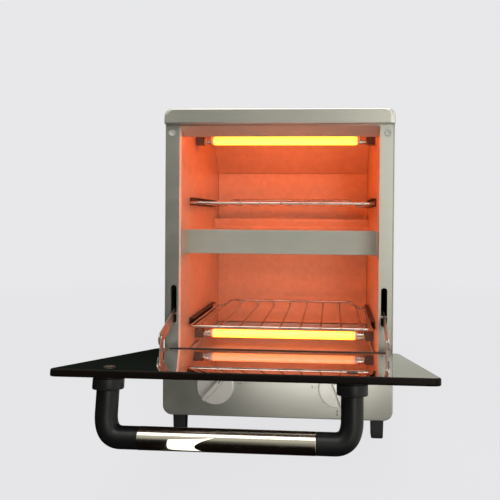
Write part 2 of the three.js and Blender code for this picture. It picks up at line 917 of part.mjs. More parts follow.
function hingeRail() {
  const end = halfWidth - railEndGap;
  const out = -fit / 2 - railSheet;
  const inn = glass + fit / 2 + railSheet;
  const low = barrel - railSheet;
  const grip = glassBottom + railGrip;
  const lip = glassBottom + railLip;
  let rail = alongX(disc(0, 0, barrel, 20), -end, end);
  const channel = alongX(plate(out, inn, low, grip, 0.4), -end, end);
  const seat = alongX(
    plate(-fit / 2, glass + fit / 2, glassBottom - fit, grip + 5, 0),
    -end - 5,
    end + 5,
  );
  const aboveLip = block(-end - 5, end + 5, glass / 2, inn + 5, lip, grip + 5);
  rail = rail.add(channel.subtract(seat).subtract(aboveLip));
  rail = rail.subtract(rodX(-end - 5, end + 5, 0, 0, rodRadius + 0.2));
  place("door_hinge_rail", rail, darkSteel, door);
  const reach = halfWidth - bracketGap + 1.5;
  place("hinge_rod", rodX(-reach, reach, 0, 0, rodRadius, 12), brightSteel, door);
}

function hingeBrackets() {
  const nose = barrel - 0.1;
  const toFrame = -hingeY - hair;
  for (const [side, sign] of sides) {
    const outer = sign * (halfWidth - bracketGap);
    const inner = outer - sign * bracketSheet;
    const x0 = Math.min(outer, inner);
    const x1 = Math.max(outer, inner);
    let tab = alongX(disc(0, 0, nose, 20), x0, x1);
    tab = tab.add(block(x0, x1, 0, toFrame, -nose, nose - 0.9));
    tab = tab.subtract(rodX(x0 - 5, x1 + 5, 0, 0, rodRadius + turnGap));
    const bracket = place(`hinge_bracket_${side}`, tab, satinSteel);
    bracket.position.set(0, hingeY, hingeZ);
  }
}

const pinY = glass + earReach;
const pinZ = earRise;
const earInner = armX - earSheet - fit / 2 - armSheet / 2; // the face nearest the middle of the oven
const armInner = earInner + earSheet + fit;
const armOuter = armInner + armSheet;

// An ear is a tab that stands on the inner face of the glass, with its riveted arm pin.
function doorEars() {
  for (const [side, sign] of sides) {
    const foot = glass + 2 * hair;
    const low = pinZ - earBase / 2;
    const high = pinZ + earBase / 2;
    const tab = outline([
      [foot, low],
      [foot + 2 * earFootSheet, low],
      [pinY, pinZ - earNose],
      [pinY, pinZ + earNose],
      [foot + 2 * earFootSheet, high],
      [foot, high],
    ]);
    let ear = alongX(tab, earInner, earInner + earSheet);
    ear = ear.add(alongX(disc(pinY, pinZ, earNose), earInner, earInner + earSheet));
    const footEnd = earInner + earSheet / 2;
    ear = ear.add(block(earInner - earFoot, footEnd, foot, foot + earFootSheet, low, high));
    const headFace = armOuter + fit;
    ear = ear.add(rodX(earInner, headFace + fit, pinY, pinZ, rodRadius, 12));
    ear = ear.add(rodX(headFace, headFace + earSheet / 2, pinY, pinZ, armHead, 12));
    if (sign < 0) ear = ear.mirror([1, 0, 0]);
    place(`door_ear_${side}`, ear, brightSteel, door);
  }
}

// A link arm runs back from its pin through the jamb's slot, and its cross pin stops behind the jamb.
function linkArms() {
  const turn = THREE.MathUtils.degToRad(doorOpen);
  const y = hingeY + pinY * Math.cos(turn) - pinZ * Math.sin(turn);
  const z = hingeZ + pinY * Math.sin(turn) + pinZ * Math.cos(turn);
  const slope = THREE.MathUtils.degToRad(armSlope);
  const stopY = slotLip + rodRadius + fit;
  const length = (stopY - y) / Math.cos(slope);
  const half = armWidth / 2;
  for (const [side, sign] of sides) {
    let arm = alongX(plate(0, length, -half, half), armInner, armOuter);
    arm = arm.add(alongX(disc(0, 0, half), armInner, armOuter));
    arm = arm.add(alongX(disc(length, 0, half), armInner, armOuter));
    arm = arm.add(rodX(armX - armStop / 2, armX + armStop / 2, length, 0, rodRadius, 12));
    arm = arm.subtract(rodX(armInner - 5, armOuter + 5, 0, 0, rodRadius + turnGap, 12));
    if (sign < 0) arm = arm.mirror([1, 0, 0]);
    const mesh = place(`link_arm_${side}`, arm, brightSteel);
    mesh.position.set(0, y, z);
    mesh.rotation.x = slope;
  }
}

function handle() {
  for (const [side, sign] of sides) {
    const x = handleOffset + (sign * handleSpread) / 2;
    const inward = x - sign * handleShank;
    const collar = turned(
      [
        [0, -collarLength],
        [collarRadius - collarEdge, -collarLength],
        [collarRadius, collarEdge - collarLength],
        [collarRadius, -fit],
        [0, -fit],
      ],
      x,
      handleLine,
      32,
    );
    const leg = bent(
      [
        [x, -collarLength / 2, handleLine],
        [x, -handleStand, handleLine],
        [inward, -handleStand, handleLine],
      ],
      legRadius,
      handleBend,
      20,
      8,
    );
    const plugRadius = tubeOuter - tubeWall - fit;
    const plug = rodX(
      Math.min(inward + sign, inward - sign * spigot),
      Math.max(inward + sign, inward - sign * spigot),
      -handleStand,
      handleLine,
      plugRadius,
    );
    const bore = rodY(x, 2 - collarLength, 5, handleLine, handleScrew + 2 * hair, 12);
    place(`handle_post_${side}`, collar.add(leg).add(plug).subtract(bore), blackPlastic, door);

    const seat = glass + 2 * hair;
    const screw = turned(
      [
        [0, 4 - collarLength],
        [handleScrew, 4 - collarLength],
        [handleScrew, seat],
        [screwHead, seat],
        [screwHead, seat + screwHeadHeight / 3],
        [screwHead * 0.6, seat + screwHeadHeight],
        [0, seat + screwHeadHeight],
      ],
      x,
      handleLine,
      16,
    );
    place(`handle_screw_${side}`, screw, brightSteel, door);
  }
  const reach = handleSpread / 2 - handleShank - fit;
  const x0 = handleOffset - reach;
  const x1 = handleOffset + reach;
  const outer = rodX(x0, x1, -handleStand, handleLine, tubeOuter, 24);
  const bore = rodX(x0 - 5, x1 + 5, -handleStand, handleLine, tubeOuter - tubeWall, 24);
  place("handle_tube", outer.subtract(bore), brightSteel, door);
}

// ---- Cord inlet ----

function cordInlet() {
  const gland = turned(
    [
      [inletBore, backFace - 8],
      [inletRadius, backFace - 8],
      [inletRadius, backFace + 2 * hair],
      [inletRadius + 3, backFace + 2 * hair],
      [inletRadius + 3, backFace + 2.2],
      [inletRadius - 0.5, backFace + 3],
      [inletRadius - 1.2, backFace + 7],
      [inletBore, backFace + 7],
      [inletBore, backFace - 8],
    ],
    inletX,
    footHeight + inletHeight,
  );
  place("cord_inlet", gland, blackPlastic);
}

outerWrap();
backPanel();
basePlate();
feet();
frontFrame();
headerBand();
controlPanel();
bumpers();
cavityLiner();
channels();
for (const [level, z] of rackLevels) rack(level, z);
heaters();
guards();
crumbTray();
controls();
doorGlass();
hingeRail();
hingeBrackets();
doorEars();
linkArms();
handle();
cordInlet();

// The origin goes under the middle of the outer box.
oven.updateMatrixWorld(true);
const box = new THREE.Box3().setFromObject(oven, true);
oven.position.y = -(box.min.y + box.max.y) / 2;

const assembly = new THREE.Group();
assembly.add(oven);
export default assembly;
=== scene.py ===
import math

import bmesh
import bpy
import numpy as np
from mathutils import Matrix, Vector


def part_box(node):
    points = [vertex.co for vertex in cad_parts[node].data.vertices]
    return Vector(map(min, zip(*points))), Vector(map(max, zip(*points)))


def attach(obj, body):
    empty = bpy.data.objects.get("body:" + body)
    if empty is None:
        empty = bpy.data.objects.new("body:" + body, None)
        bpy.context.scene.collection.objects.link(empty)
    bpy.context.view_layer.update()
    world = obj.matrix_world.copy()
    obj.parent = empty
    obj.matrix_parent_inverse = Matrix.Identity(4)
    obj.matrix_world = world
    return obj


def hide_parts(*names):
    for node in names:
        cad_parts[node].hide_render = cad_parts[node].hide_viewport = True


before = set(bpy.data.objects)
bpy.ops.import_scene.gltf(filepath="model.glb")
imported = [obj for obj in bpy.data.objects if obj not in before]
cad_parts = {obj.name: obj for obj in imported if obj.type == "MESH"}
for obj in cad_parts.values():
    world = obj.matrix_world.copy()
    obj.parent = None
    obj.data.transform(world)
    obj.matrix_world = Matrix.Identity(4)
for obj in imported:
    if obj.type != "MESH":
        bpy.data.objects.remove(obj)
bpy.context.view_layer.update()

# ---- Camera ----
# A camera at chest height in front of the open door, a little right of the middle, as for a shop picture.
# It looks almost level, and its lens is shifted slightly so that the oven sits left of the frame's middle.

LENS_PIXELS = 573.9
FRAME_SIDE = 500
AXIS_AT = (296.1, 223.5)
YAW, PITCH, ROLL = np.radians([3.64, 0.65, 0.45])
STANDS_AT = (0.0567, -0.5992, 0.2307)

ahead = np.array([-math.sin(YAW) * math.cos(PITCH), math.cos(YAW) * math.cos(PITCH), -math.sin(PITCH)])
level = np.array([math.cos(YAW), math.sin(YAW), 0.0])
upward = np.cross(level, ahead)
camera_right = level * math.cos(ROLL) + upward * math.sin(ROLL)
camera_up = -level * math.sin(ROLL) + upward * math.cos(ROLL)

lens = bpy.data.cameras.new("front_view")
lens.sensor_width = 36
lens.lens = 36 * LENS_PIXELS / FRAME_SIDE
lens.shift_x = (FRAME_SIDE / 2 - AXIS_AT[0]) / FRAME_SIDE
lens.shift_y = (AXIS_AT[1] - FRAME_SIDE / 2) / FRAME_SIDE
lens.clip_start = 0.02
camera = bpy.data.objects.new("front_view", lens)
bpy.context.scene.collection.objects.link(camera)
pose = np.eye(4)
pose[:3, 0], pose[:3, 1], pose[:3, 2] = camera_right, camera_up, -ahead
pose[:3, 3] = STANDS_AT
camera.matrix_world = Matrix(pose.tolist())
bpy.context.scene.camera = camera
bpy.context.scene.view_settings.view_transform = "Standard"

# ---- Studio ----
# A pale sweep under the oven, with large soft lights over it and a bright wall on the right.
# The sweep fades into the same pale grey as the room, so that no horizon shows.

PALE = (0.807, 0.807, 0.823, 1)
SWEEP_REACH, SWEEP_RINGS, SWEEP_TURNS = 3.0, 24, 64
SWEEP_DROP = 0.0002


def put(tree, kind, settings=None, **feeds):
    """Adds one node to a shader, types in its settings, and links or types in each named input."""
    node = tree.nodes.new(kind)
    for key, value in (settings or {}).items():
        setattr(node, key, value)
    for key, value in feeds.items():
        socket = node.inputs[int(key[1:])] if key[1:].isdigit() else node.inputs[key.replace("_", " ")]
        if isinstance(value, bpy.types.NodeSocket):
            tree.links.new(value, socket)
        else:
            socket.default_value = value
    return node


def blank(name):
    """A new material with nothing in it but its output."""
    finish = bpy.data.materials.new(name)
    finish.use_nodes = True
    finish.node_tree.nodes.clear()
    return finish, finish.node_tree


def blend_colour(tree, amount, first, second):
    """The colour that lies the given amount of the way from the first to the second."""
    return put(tree, "ShaderNodeMix", {"data_type": "RGBA"}, i0=amount, i6=first, i7=second).outputs[2]


def eased(tree, value, start, end):
    """Nought up to the start and one past the end, and between them t*t*(3-2t) of the way."""
    return put(
        tree, "ShaderNodeMapRange", {"interpolation_type": "SMOOTHSTEP"},
        Value=value, From_Min=start, From_Max=end,
    ).outputs[0]


def product(tree, first, second):
    """Two values multiplied."""
    return put(tree, "ShaderNodeMath", {"operation": "MULTIPLY"}, i0=first, i1=second).outputs[0]


def studio_floor():
    """A round flat sheet: every point of a polar grid lies a hair under height nought, out to its reach."""
    n = SWEEP_TURNS
    reach = np.linspace(0.02, SWEEP_REACH, SWEEP_RINGS)[:, None]
    turn = np.linspace(0, 2 * np.pi, n, endpoint=False)[None, :]
    low = np.full((SWEEP_RINGS, n), -SWEEP_DROP)
    rings = np.stack([reach * np.cos(turn), reach * np.sin(turn), low], -1)
    i, j = np.meshgrid(np.arange(SWEEP_RINGS - 1), np.arange(n), indexing="ij")
    k = (j + 1) % n
    faces = np.stack([i * n + j, (i + 1) * n + j, (i + 1) * n + k, i * n + k], -1).reshape(-1, 4).tolist()
    faces.append(list(range(n)))
    mesh = bpy.data.meshes.new("studio_floor")
    mesh.from_pydata(rings.reshape(-1, 3).tolist(), [], faces)
    floor = bpy.data.objects.new("studio_floor", mesh)
    bpy.context.scene.collection.objects.link(floor)

    finish, tree = blank("pale_sweep")
    out = put(tree, "ShaderNodeOutputMaterial")
    where = put(tree, "ShaderNodeTexCoord")
    far = put(tree, "ShaderNodeVectorMath", {"operation": "LENGTH"}, i0=where.outputs["Object"])
    fade = put(tree, "ShaderNodeMapRange", None, Value=far.outputs["Value"], From_Min=0.5, From_Max=1.6)
    path = put(tree, "ShaderNodeLightPath")
    parts = put(tree, "ShaderNodeSeparateXYZ", None, i0=where.outputs["Object"])
    # Painted reflection: to glossy rays the floor is painted dark on the left and pale on the right, so shining
    # parts mirror a dark left side and a bright right side.
    rightward = eased(tree, parts.outputs["X"], 0.10, 0.26)
    painted_reflection_tone = blend_colour(tree, rightward, (0.008, 0.005, 0.004, 1), (0.95, 0.95, 0.84, 1))
    tone = blend_colour(tree, path.outputs["Is Glossy Ray"], (0.80, 0.80, 0.815, 1), painted_reflection_tone)
    matt = put(tree, "ShaderNodeBsdfDiffuse", None, Color=tone)
    pale = put(tree, "ShaderNodeEmission", None, Color=PALE, Strength=1.0)
    faint = product(tree, path.outputs["Is Camera Ray"], 0.93)
    shown = put(tree, "ShaderNodeMixShader", None, i0=faint, i1=matt.outputs[0], i2=pale.outputs[0])
    clear = put(tree, "ShaderNodeBsdfTransparent")
    both = put(
        tree, "ShaderNodeMixShader", None, i0=fade.outputs[0], i1=shown.outputs[0], i2=clear.outputs[0]
    )
    tree.links.new(both.outputs[0], out.inputs["Surface"])
    mesh.materials.append(finish)


def studio_room():
    """The room is pale to the camera and evenly soft to matt surfaces. What shines in it sees a dark left
    side, a bright right side and a bright ceiling."""
    room = bpy.data.worlds.new("studio_room")
    bpy.context.scene.world = room
    room.use_nodes = True
    tree = room.node_tree
    tree.nodes.clear()
    out = put(tree, "ShaderNodeOutputWorld")
    where = put(tree, "ShaderNodeTexCoord")
    parts = put(tree, "ShaderNodeSeparateXYZ", None, i0=where.outputs["Generated"])
    across = eased(tree, parts.outputs["X"], -0.28, 0.12)
    height = eased(tree, parts.outputs["Z"], 0.05, 0.55)
    side = blend_colour(tree, across, (0.010, 0.013, 0.010, 1), (0.42, 0.42, 0.36, 1))
    sky = blend_colour(tree, height, side, (0.72, 0.71, 0.63, 1))
    path = put(tree, "ShaderNodeLightPath")
    shining = blend_colour(tree, path.outputs["Is Glossy Ray"], (0.20, 0.20, 0.19, 1), sky)
    seen = blend_colour(tree, path.outputs["Is Camera Ray"], shining, PALE)
    glow = put(tree, "ShaderNodeBackground", None, Color=seen, Strength=1.0)
    tree.links.new(glow.outputs[0], out.inputs["Surface"])


def soft_light(name, place, aim, size, watts, tint=(1, 1, 1)):
    """A square area light at a place, turned towards a point and itself unseen by the camera."""
    lamp = bpy.data.lights.new(name, "AREA")
    lamp.size = size
    lamp.energy = watts
    lamp.color = tint
    light = bpy.data.objects.new(name, lamp)
    way = (np.array(aim) - place) / np.linalg.norm(np.array(aim) - place)
    side = np.cross(way, (0, 0, 1)) if abs(way[2]) < 0.99 else np.array([1.0, 0, 0])
    side /= np.linalg.norm(side)
    turn = np.eye(4)
    turn[:3, 0], turn[:3, 1], turn[:3, 2], turn[:3, 3] = side, np.cross(side, way), -way, place
    light.matrix_world = Matrix(turn.tolist())
    light.visible_camera = False
    bpy.context.scene.collection.objects.link(light)


studio_floor()
studio_room()
soft_light("overhead", (0.0, -0.6, 1.6), (0, 0, 0.25), 1.4, 19)
soft_light("right_wall", (1.5, -0.5, 0.6), (0, 0, 0.2), 1.2, 5, (1, 0.99, 0.93))
soft_light("front_fill", (0.8, -1.8, 0.35), (0, 0, 0.12), 0.9, 6, (1, 0.99, 0.94))
soft_light("under_door", (0.03, -0.205, 0.006), (-0.01, 0, 0.06), 0.17, 0.3, (1, 0.99, 0.95))
soft_light("left_fill", (-1.6, -0.4, 0.9), (0, 0, 0.2), 1.2, 1.2)

# ---- Outer cabinet: bent wrap and base ----
# The body is one strip of satin-finished sheet steel bent round into the sides and top, with rounded corners.
# It is folded under at the foot, vented by slots low on each side, and closed below by a zinc-coated plate.

MM = 0.001


def surface_tones(name, outputs, inputs):
    """An empty shader group with its varying outputs and its inputs, each a number or a vector as its value
    is. Gives the group, its two ends and its coordinates."""
    group = bpy.data.node_groups.new(name, "ShaderNodeTree")
    for label in outputs:
        group.interface.new_socket(label, in_out="OUTPUT", socket_type="NodeSocketFloat")
    for label, value in inputs.items():
        kind = "NodeSocketVector" if isinstance(value, tuple) else "NodeSocketFloat"
        group.interface.new_socket(label, in_out="INPUT", socket_type=kind).default_value = value
    ends = [put(group, kind) for kind in ("NodeGroupInput", "NodeGroupOutput", "ShaderNodeTexCoord")]
    return group, *ends


def brushing_group():
    """Fine lines drawn out along one way: a noise is stretched by its three scales, and a second, broader
    noise gives cloudy tone. Lines gives the height of the scratches and Clouds the slow change of shine."""
    group, came, goes, where = surface_tones(
        "fine_brushing", ("Lines", "Clouds"), {"Stretch": (1.0, 1.0, 1.0), "Cloud Size": 20.0}
    )
    drawn = put(
        group, "ShaderNodeVectorMath", {"operation": "MULTIPLY"},
        i0=where.outputs["Object"], i1=came.outputs["Stretch"],
    )
    lines = put(
        group, "ShaderNodeTexNoise", None, Vector=drawn.outputs[0], Scale=1.0, Detail=3.0, Roughness=0.6
    )
    clouds = put(
        group, "ShaderNodeTexNoise", None,
        Vector=where.outputs["Object"], Scale=came.outputs["Cloud Size"], Detail=4.0, Roughness=0.55,
    )
    group.links.new(lines.outputs[0], goes.inputs["Lines"])
    group.links.new(clouds.outputs[0], goes.inputs["Clouds"])
    return group


def handling_group():
    """What hands and a kitchen leave behind: soft smears a few centimetres across, broken by fine specks.
    Smears and Specks both run from nought to one."""
    group, came, goes, where = surface_tones("handling_marks", ("Smears", "Specks"), {"Size": 30.0})
    smear = put(
        group, "ShaderNodeTexNoise", None,
        Vector=where.outputs["Object"], Scale=came.outputs["Size"], Detail=6.0, Roughness=0.62,
        Distortion=1.2,
    )
    soft = eased(group, smear.outputs[0], 0.48, 0.74)
    dots = put(group, "ShaderNodeTexNoise", None, Vector=where.outputs["Object"], Scale=900.0, Detail=1.0)
    speck = eased(group, dots.outputs[0], 0.66, 0.74)
    group.links.new(soft, goes.inputs["Smears"])
    group.links.new(speck, goes.inputs["Specks"])
    return group


fine_brushing = brushing_group()
handling_marks = handling_group()


def use(tree, group, **values):
    """Places a shared group in a material with its own values."""
    node = tree.nodes.new("ShaderNodeGroup")
    node.node_tree = group
    for key, value in values.items():
        node.inputs[key.replace("_", " ")].default_value = value
    return node


def spread(tree, value, low, high):
    """A value from nought to one, spread between a low and a high figure."""
    return put(tree, "ShaderNodeMapRange", None, Value=value, To_Min=low, To_Max=high).outputs[0]


def surfaced(finish, **feeds):
    """Closes a material: one Principled shader with the named feeds, linked to the output."""
    body = put(finish.node_tree, "ShaderNodeBsdfPrincipled", None, **feeds)
    put(finish.node_tree, "ShaderNodeOutputMaterial", None, Surface=body.outputs[0])
    return finish


def metal(
    name, dull, bright, rough, stretch, clouds, metallic, wear_highlight_colour=None, depth=0.00004, bump=0.25
):
    """Drawn or brushed sheet: its tone wanders between two colours with the clouds, its shine with the lines
    and smears, and where the piece's rings are marked the metal is painted brighter: a painted highlight along
    bends and rims, with some edge wear."""
    finish, tree = blank(name)
    grain = use(tree, fine_brushing, Stretch=stretch, Cloud_Size=clouds)
    marks = use(tree, handling_marks, Size=clouds * 1.4)
    tone = blend_colour(tree, grain.outputs["Clouds"], (*dull, 1), (*bright, 1))
    level = spread(tree, grain.outputs["Lines"], 0.72, 1.18)
    shade = put(tree, "ShaderNodeCombineColor", None, i0=level, i1=level, i2=level)
    lined = put(
        tree, "ShaderNodeMix", {"data_type": "RGBA", "blend_type": "MULTIPLY"},
        i0=0.35, i6=tone, i7=shade.outputs[0],
    )
    colour = lined.outputs[2]
    # Painted highlight: the marked rings brighten the colour along bends and rims.
    if wear_highlight_colour:
        wear_and_highlight = put(tree, "ShaderNodeAttribute", {"attribute_name": "wear_and_highlight"})
        edge = product(tree, wear_and_highlight.outputs["Fac"], grain.outputs["Clouds"])
        colour = blend_colour(tree, edge, colour, (*wear_highlight_colour, 1))
    shine = put(
        tree, "ShaderNodeMath", {"operation": "ADD"},
        i0=spread(tree, grain.outputs["Lines"], rough - 0.07, rough + 0.07),
        i1=spread(tree, marks.outputs["Smears"], 0.0, 0.09),
    )
    relief = put(tree, "ShaderNodeBump", None, Strength=bump, Distance=depth, Height=grain.outputs["Lines"])
    return surfaced(
        finish, Base_Color=colour, Metallic=metallic, Roughness=shine.outputs[0], Normal=relief.outputs[0]
    )


# The pale colour is a painted highlight along the header and panel pressings' bends and rims.
satin_steel = metal(
    "satin_steel", (0.50, 0.495, 0.44), (0.58, 0.57, 0.51), 0.36, (25, 1600, 1600), 14, 0.85,
    wear_highlight_colour=(0.80, 0.79, 0.74),
)
satin_wrap = metal("satin_wrap", (0.50, 0.495, 0.44), (0.58, 0.57, 0.51), 0.38, (1600, 25, 1600), 14, 0.85)
zinc_sheet = metal("zinc_sheet", (0.52, 0.51, 0.50), (0.66, 0.65, 0.64), 0.42, (300, 300, 60), 45, 0.8)


def faced_outwards(mesh):
    """Turns every face of a closed mesh outwards."""
    work = bmesh.new()
    work.from_mesh(mesh)
    bmesh.ops.recalc_face_normals(work, faces=work.faces)
    work.to_mesh(mesh)
    work.free()


def settle(piece, body, slot, *stood_for):
    """Fixes a finished piece to its body and hides the CAD nodes it stands for. The slot is not used."""
    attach(piece, body)
    if stood_for:
        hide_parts(*stood_for)
    return piece


def mesh_piece(name, points, faces, finish, sharp=38):
    """An object from millimetre points and faces, smooth but for edges sharper than the given angle."""
    mesh = bpy.data.meshes.new(name)
    mesh.from_pydata((np.asarray(points) * MM).tolist(), [], faces)
    mesh.shade_smooth()
    mesh.set_sharp_from_angle(angle=math.radians(sharp))
    mesh.materials.append(finish)
    piece = bpy.data.objects.new(name, mesh)
    bpy.context.scene.collection.objects.link(piece)
    return piece


def rolled(node, body, slot, finish, edge=0.22, sharp=38):
    """A CAD piece with its triangles joined up and its edges rolled: points nearer than a hundredth of a
    millimetre become one, faces in one plane become one, and each edge sharper than the angle is rounded."""
    work = bmesh.new()
    work.from_mesh(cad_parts[node].data)
    bmesh.ops.remove_doubles(work, verts=work.verts, dist=1e-5)
    bmesh.ops.dissolve_limit(work, angle_limit=math.radians(0.6), verts=work.verts, edges=work.edges)
    work.verts.index_update()
    points = [v.co / MM for v in work.verts]
    faces = [[v.index for v in f.verts] for f in work.faces]
    work.free()
    piece = mesh_piece(node + "_sheet", points, faces, finish, sharp)
    bevel = piece.modifiers.new("rolled_edge", "BEVEL")
    bevel.width = edge * MM
    bevel.segments = 2
    bevel.limit_method = "ANGLE"
    bevel.angle_limit = math.radians(sharp)
    bevel.harden_normals = True
    return settle(piece, body, slot, node)


rolled("outer_wrap", "cabinet", "satin_steel", satin_wrap, 0.3)
rolled("base_plate", "cabinet", "zinc_sheet", zinc_sheet)

# ---- Back panel and its screws ----
# A flat zinc-coated sheet with three columns of pressed vent slots and a slot for the crumb tray.
# Four cross-head pan screws hold it to the lip of the wrap.

rolled("back_panel", "cabinet", "zinc_sheet", zinc_sheet, 0.25)

bright_steel = metal(
    "bright_steel", (0.68, 0.65, 0.58), (0.80, 0.77, 0.70), 0.22, (700, 700, 700), 60, 1.0, depth=0.00002
)


def turned_rings(profile, centre, axis="y", steps=32, height=None):
    """Rings of a turned piece: each radius and station of the profile is swept round an axis at the centre.
    A height function may move each point along the axis by how far it lies across and along the face."""
    profile = np.asarray(profile, float)
    turn = np.linspace(0, 2 * np.pi, steps, endpoint=False)
    a = profile[:, :1] * np.cos(turn)
    b = profile[:, :1] * np.sin(turn)
    along = np.repeat(profile[:, 1:2], steps, 1)
    if height is not None:
        along = along + height(a, b, profile)
    if axis == "y":
        return np.stack([centre[0] + a, along, centre[1] + b], -1)
    if axis == "x":
        return np.stack([along, centre[0] + a, centre[1] + b], -1)
    return np.stack([centre[0] + a, centre[1] + b, along], -1)


def skin(name, rings, finish, wear_and_highlight=None, sharp=38, ends=True):
    """A closed skin over a stack of rings: point j of ring i is joined to its neighbours on the same and the
    next ring, and the end rings are closed by faces that stay flat. Each ring may carry a value that some
    finishes paint paler: edge wear, and on bends and rims a painted highlight."""
    rings = np.asarray(rings, float)
    count, steps, _ = rings.shape
    i, j = np.meshgrid(np.arange(count - 1), np.arange(steps), indexing="ij")
    k = (j + 1) % steps
    faces = np.stack([i * steps + j, i * steps + k, (i + 1) * steps + k, (i + 1) * steps + j], -1)
    faces = faces.reshape(-1, 4).tolist()
    if ends:
        faces.append(list(range(steps))[::-1])
        faces.append(list(range((count - 1) * steps, count * steps)))
    piece = mesh_piece(name, rings.reshape(-1, 3), faces, finish, sharp)
    faced_outwards(piece.data)
    piece.data.shade_smooth()
    piece.data.set_sharp_from_angle(angle=math.radians(sharp))
    if ends:
        for face in piece.data.polygons[-2:]:
            face.use_smooth = False
    layer = piece.data.attributes.new("wear_and_highlight", "FLOAT", "POINT")
    ring_wear_and_highlight = np.zeros(count) if wear_and_highlight is None else wear_and_highlight
    layer.data.foreach_set("value", np.repeat(ring_wear_and_highlight, steps).astype(np.float32))
    return piece


def joined(pieces, name):
    """Several skins as one piece."""
    meshes = [p.data for p in pieces]
    work = bmesh.new()
    for m in meshes:
        work.from_mesh(m)
    whole = bpy.data.meshes.new(name)
    work.to_mesh(whole)
    work.free()
    whole.materials.append(meshes[0].materials[0])
    for p in pieces:
        bpy.data.objects.remove(p)
    one = bpy.data.objects.new(name, whole)
    bpy.context.scene.collection.objects.link(one)
    return one


def centre_of(node):
    """The middle of a node's box, in millimetres."""
    low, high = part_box(node)
    return np.array([(a + b) / 2 / MM for a, b in zip(low, high)])


def cross_recess(depth, arm, width):
    """A cross cut into a screw head: a point lies in it where it is near either bar and within its reach."""

    def height(a, b, profile):
        near = np.minimum(np.abs(a), np.abs(b))
        far = np.maximum(np.abs(a), np.abs(b))
        inside = np.clip((width - near) / 0.15 + 0.5, 0, 1) * np.clip((arm - far) / 0.3 + 0.5, 0, 1)
        return -depth * inside * profile[:, 2:3]

    return height


SCREW_CROWN = 2.7

for where in ("lower_left", "lower_right", "upper_left", "upper_right"):
    node = "back_screw_" + where
    x, _, z = centre_of(node)
    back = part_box(node)[1].y / MM
    dome = [(r, back - 0.25 * (r / SCREW_CROWN) ** 2, 1) for r in np.linspace(SCREW_CROWN, 0.15, 16)]
    profile = [(1.3, back - 7.5, 0), (1.3, back - 1.9, 0), (2.7, back - 1.9, 0), (3.0, back - 1.6, 0),
               (3.0, back - 0.7, 0)]
    rings = turned_rings(profile + dome, (x, z), steps=48, height=cross_recess(0.9, 1.7, 0.42))
    settle(skin(node + "_head", rings, bright_steel), "cabinet", "bright_steel", node)

# ---- Front frame, header band and control panel ----
# The frame is a satin sheet with the mouth folded inwards, painted near-white at the side folds as a highlight,
# and two slots for the arms.
# The header and the control panel are shallow pressed pans that stand proud of it.

OPENING_HALF = 105.0

front_sheet = rolled("front_frame", "cabinet", "satin_steel", satin_steel, 0.2, 45)
# Painted highlight: the side folds of the mouth take a near-white finish for the bright line a light draws
# along them.
flange_highlight_paint = metal("flange_highlight_paint", (0.84, 0.81, 0.76), (0.94, 0.92, 0.88), 0.42, (900, 60, 900), 20, 0.15)
front_sheet.data.materials.append(flange_highlight_paint)
for face in front_sheet.data.polygons:
    if abs(face.normal.x) > 0.9 and abs(abs(face.center.x) - OPENING_HALF * MM) < 0.2 * MM:
        face.material_index = 1

HALF_WIDTH = 120.0
FOOT, TOP = 22.0, 343.0
PAN_SHEET = 1.0
PAN_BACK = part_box("header_band")[1].y / MM
PAN_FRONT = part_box("header_band")[0].y / MM


def rounded_ring(left, right, low, high, low_corner, high_corner, steps=9):
    """A rectangle with quarter circles as its corners: one radius for the lower and one for the upper."""
    turn = np.linspace(0, np.pi / 2, steps)
    corners = [
        (right - low_corner, low + low_corner, low_corner, -np.pi / 2),
        (right - high_corner, high - high_corner, high_corner, 0.0),
        (left + high_corner, high - high_corner, high_corner, np.pi / 2),
        (left + low_corner, low + low_corner, low_corner, np.pi),
    ]
    return np.concatenate(
        [np.stack([x + r * np.cos(a + turn), z + r * np.sin(a + turn)], -1) for x, z, r, a in corners]
    )


def pressed_pan(name, low, high, low_corner, high_corner, bend_x, bend_z):
    """A shallow pan: its outline is brought in along a quarter ellipse as it comes forward, wider at the two
    ends than above and below, and the same again one sheet thickness inside."""

    def ring(in_x, in_z, y):
        flat = rounded_ring(
            -HALF_WIDTH + in_x, HALF_WIDTH - in_x, low + in_z, high - in_z,
            max(low_corner - in_z, 0.3), max(high_corner - in_z, 0.3),
        )
        return np.stack([flat[:, 0], np.full(len(flat), y), flat[:, 1]], -1)

    turn = np.linspace(0, np.pi / 2, 8)
    deep = bend_z + 0.6
    wall = PAN_SHEET + 0.1
    under = PAN_FRONT + PAN_SHEET
    inside = [ring(wall + bend_x, wall + bend_z, under), ring(wall, wall, under + deep)]
    rim = [ring(wall, wall, PAN_BACK), ring(0, 0, PAN_BACK)]
    face = [
        ring(bend_x * (1 - math.cos(t)), bend_z * (1 - math.cos(t)), PAN_FRONT + deep * (1 - math.sin(t)))
        for t in turn
    ]
    # Painted highlight: the rim and the middle of the bend are painted paler, where the rounded edge catches
    # the light.
    wear_and_highlight = [0, 0, 0.3, 0.9] + [0.2 + 0.5 * math.sin(2 * t) for t in turn]
    wear_and_highlight[-1] = 0
    return skin(name, inside + rim + face, satin_steel, wear_and_highlight, 50)


BAND_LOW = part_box("header_band")[0].z / MM
PANEL_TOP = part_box("control_panel")[1].z / MM
settle(
    pressed_pan("header_pressing", BAND_LOW, TOP, 0.8, 8.5, 5.0, 1.4),
    "cabinet", "satin_steel", "header_band",
)
settle(
    pressed_pan("control_pressing", FOOT, PANEL_TOP, 10.0, 0.8, 1.6, 1.2),
    "cabinet", "satin_steel", "control_panel",
)

# ---- Door bumpers ----
# Two pale soft-rubber buttons pushed through the jambs under the header, which the shut door rests on.
# Each has a raised ring and a dimple where it was moulded.


def soft_rubber():
    """Milky rubber with a faint mottle."""
    finish, tree = blank("bumper_rubber")
    marks = use(tree, handling_marks, Size=160.0)
    colour = blend_colour(tree, marks.outputs["Smears"], (0.56, 0.56, 0.52, 1), (0.44, 0.44, 0.40, 1))
    return surfaced(finish, Base_Color=colour, Roughness=spread(tree, marks.outputs["Smears"], 0.38, 0.55))


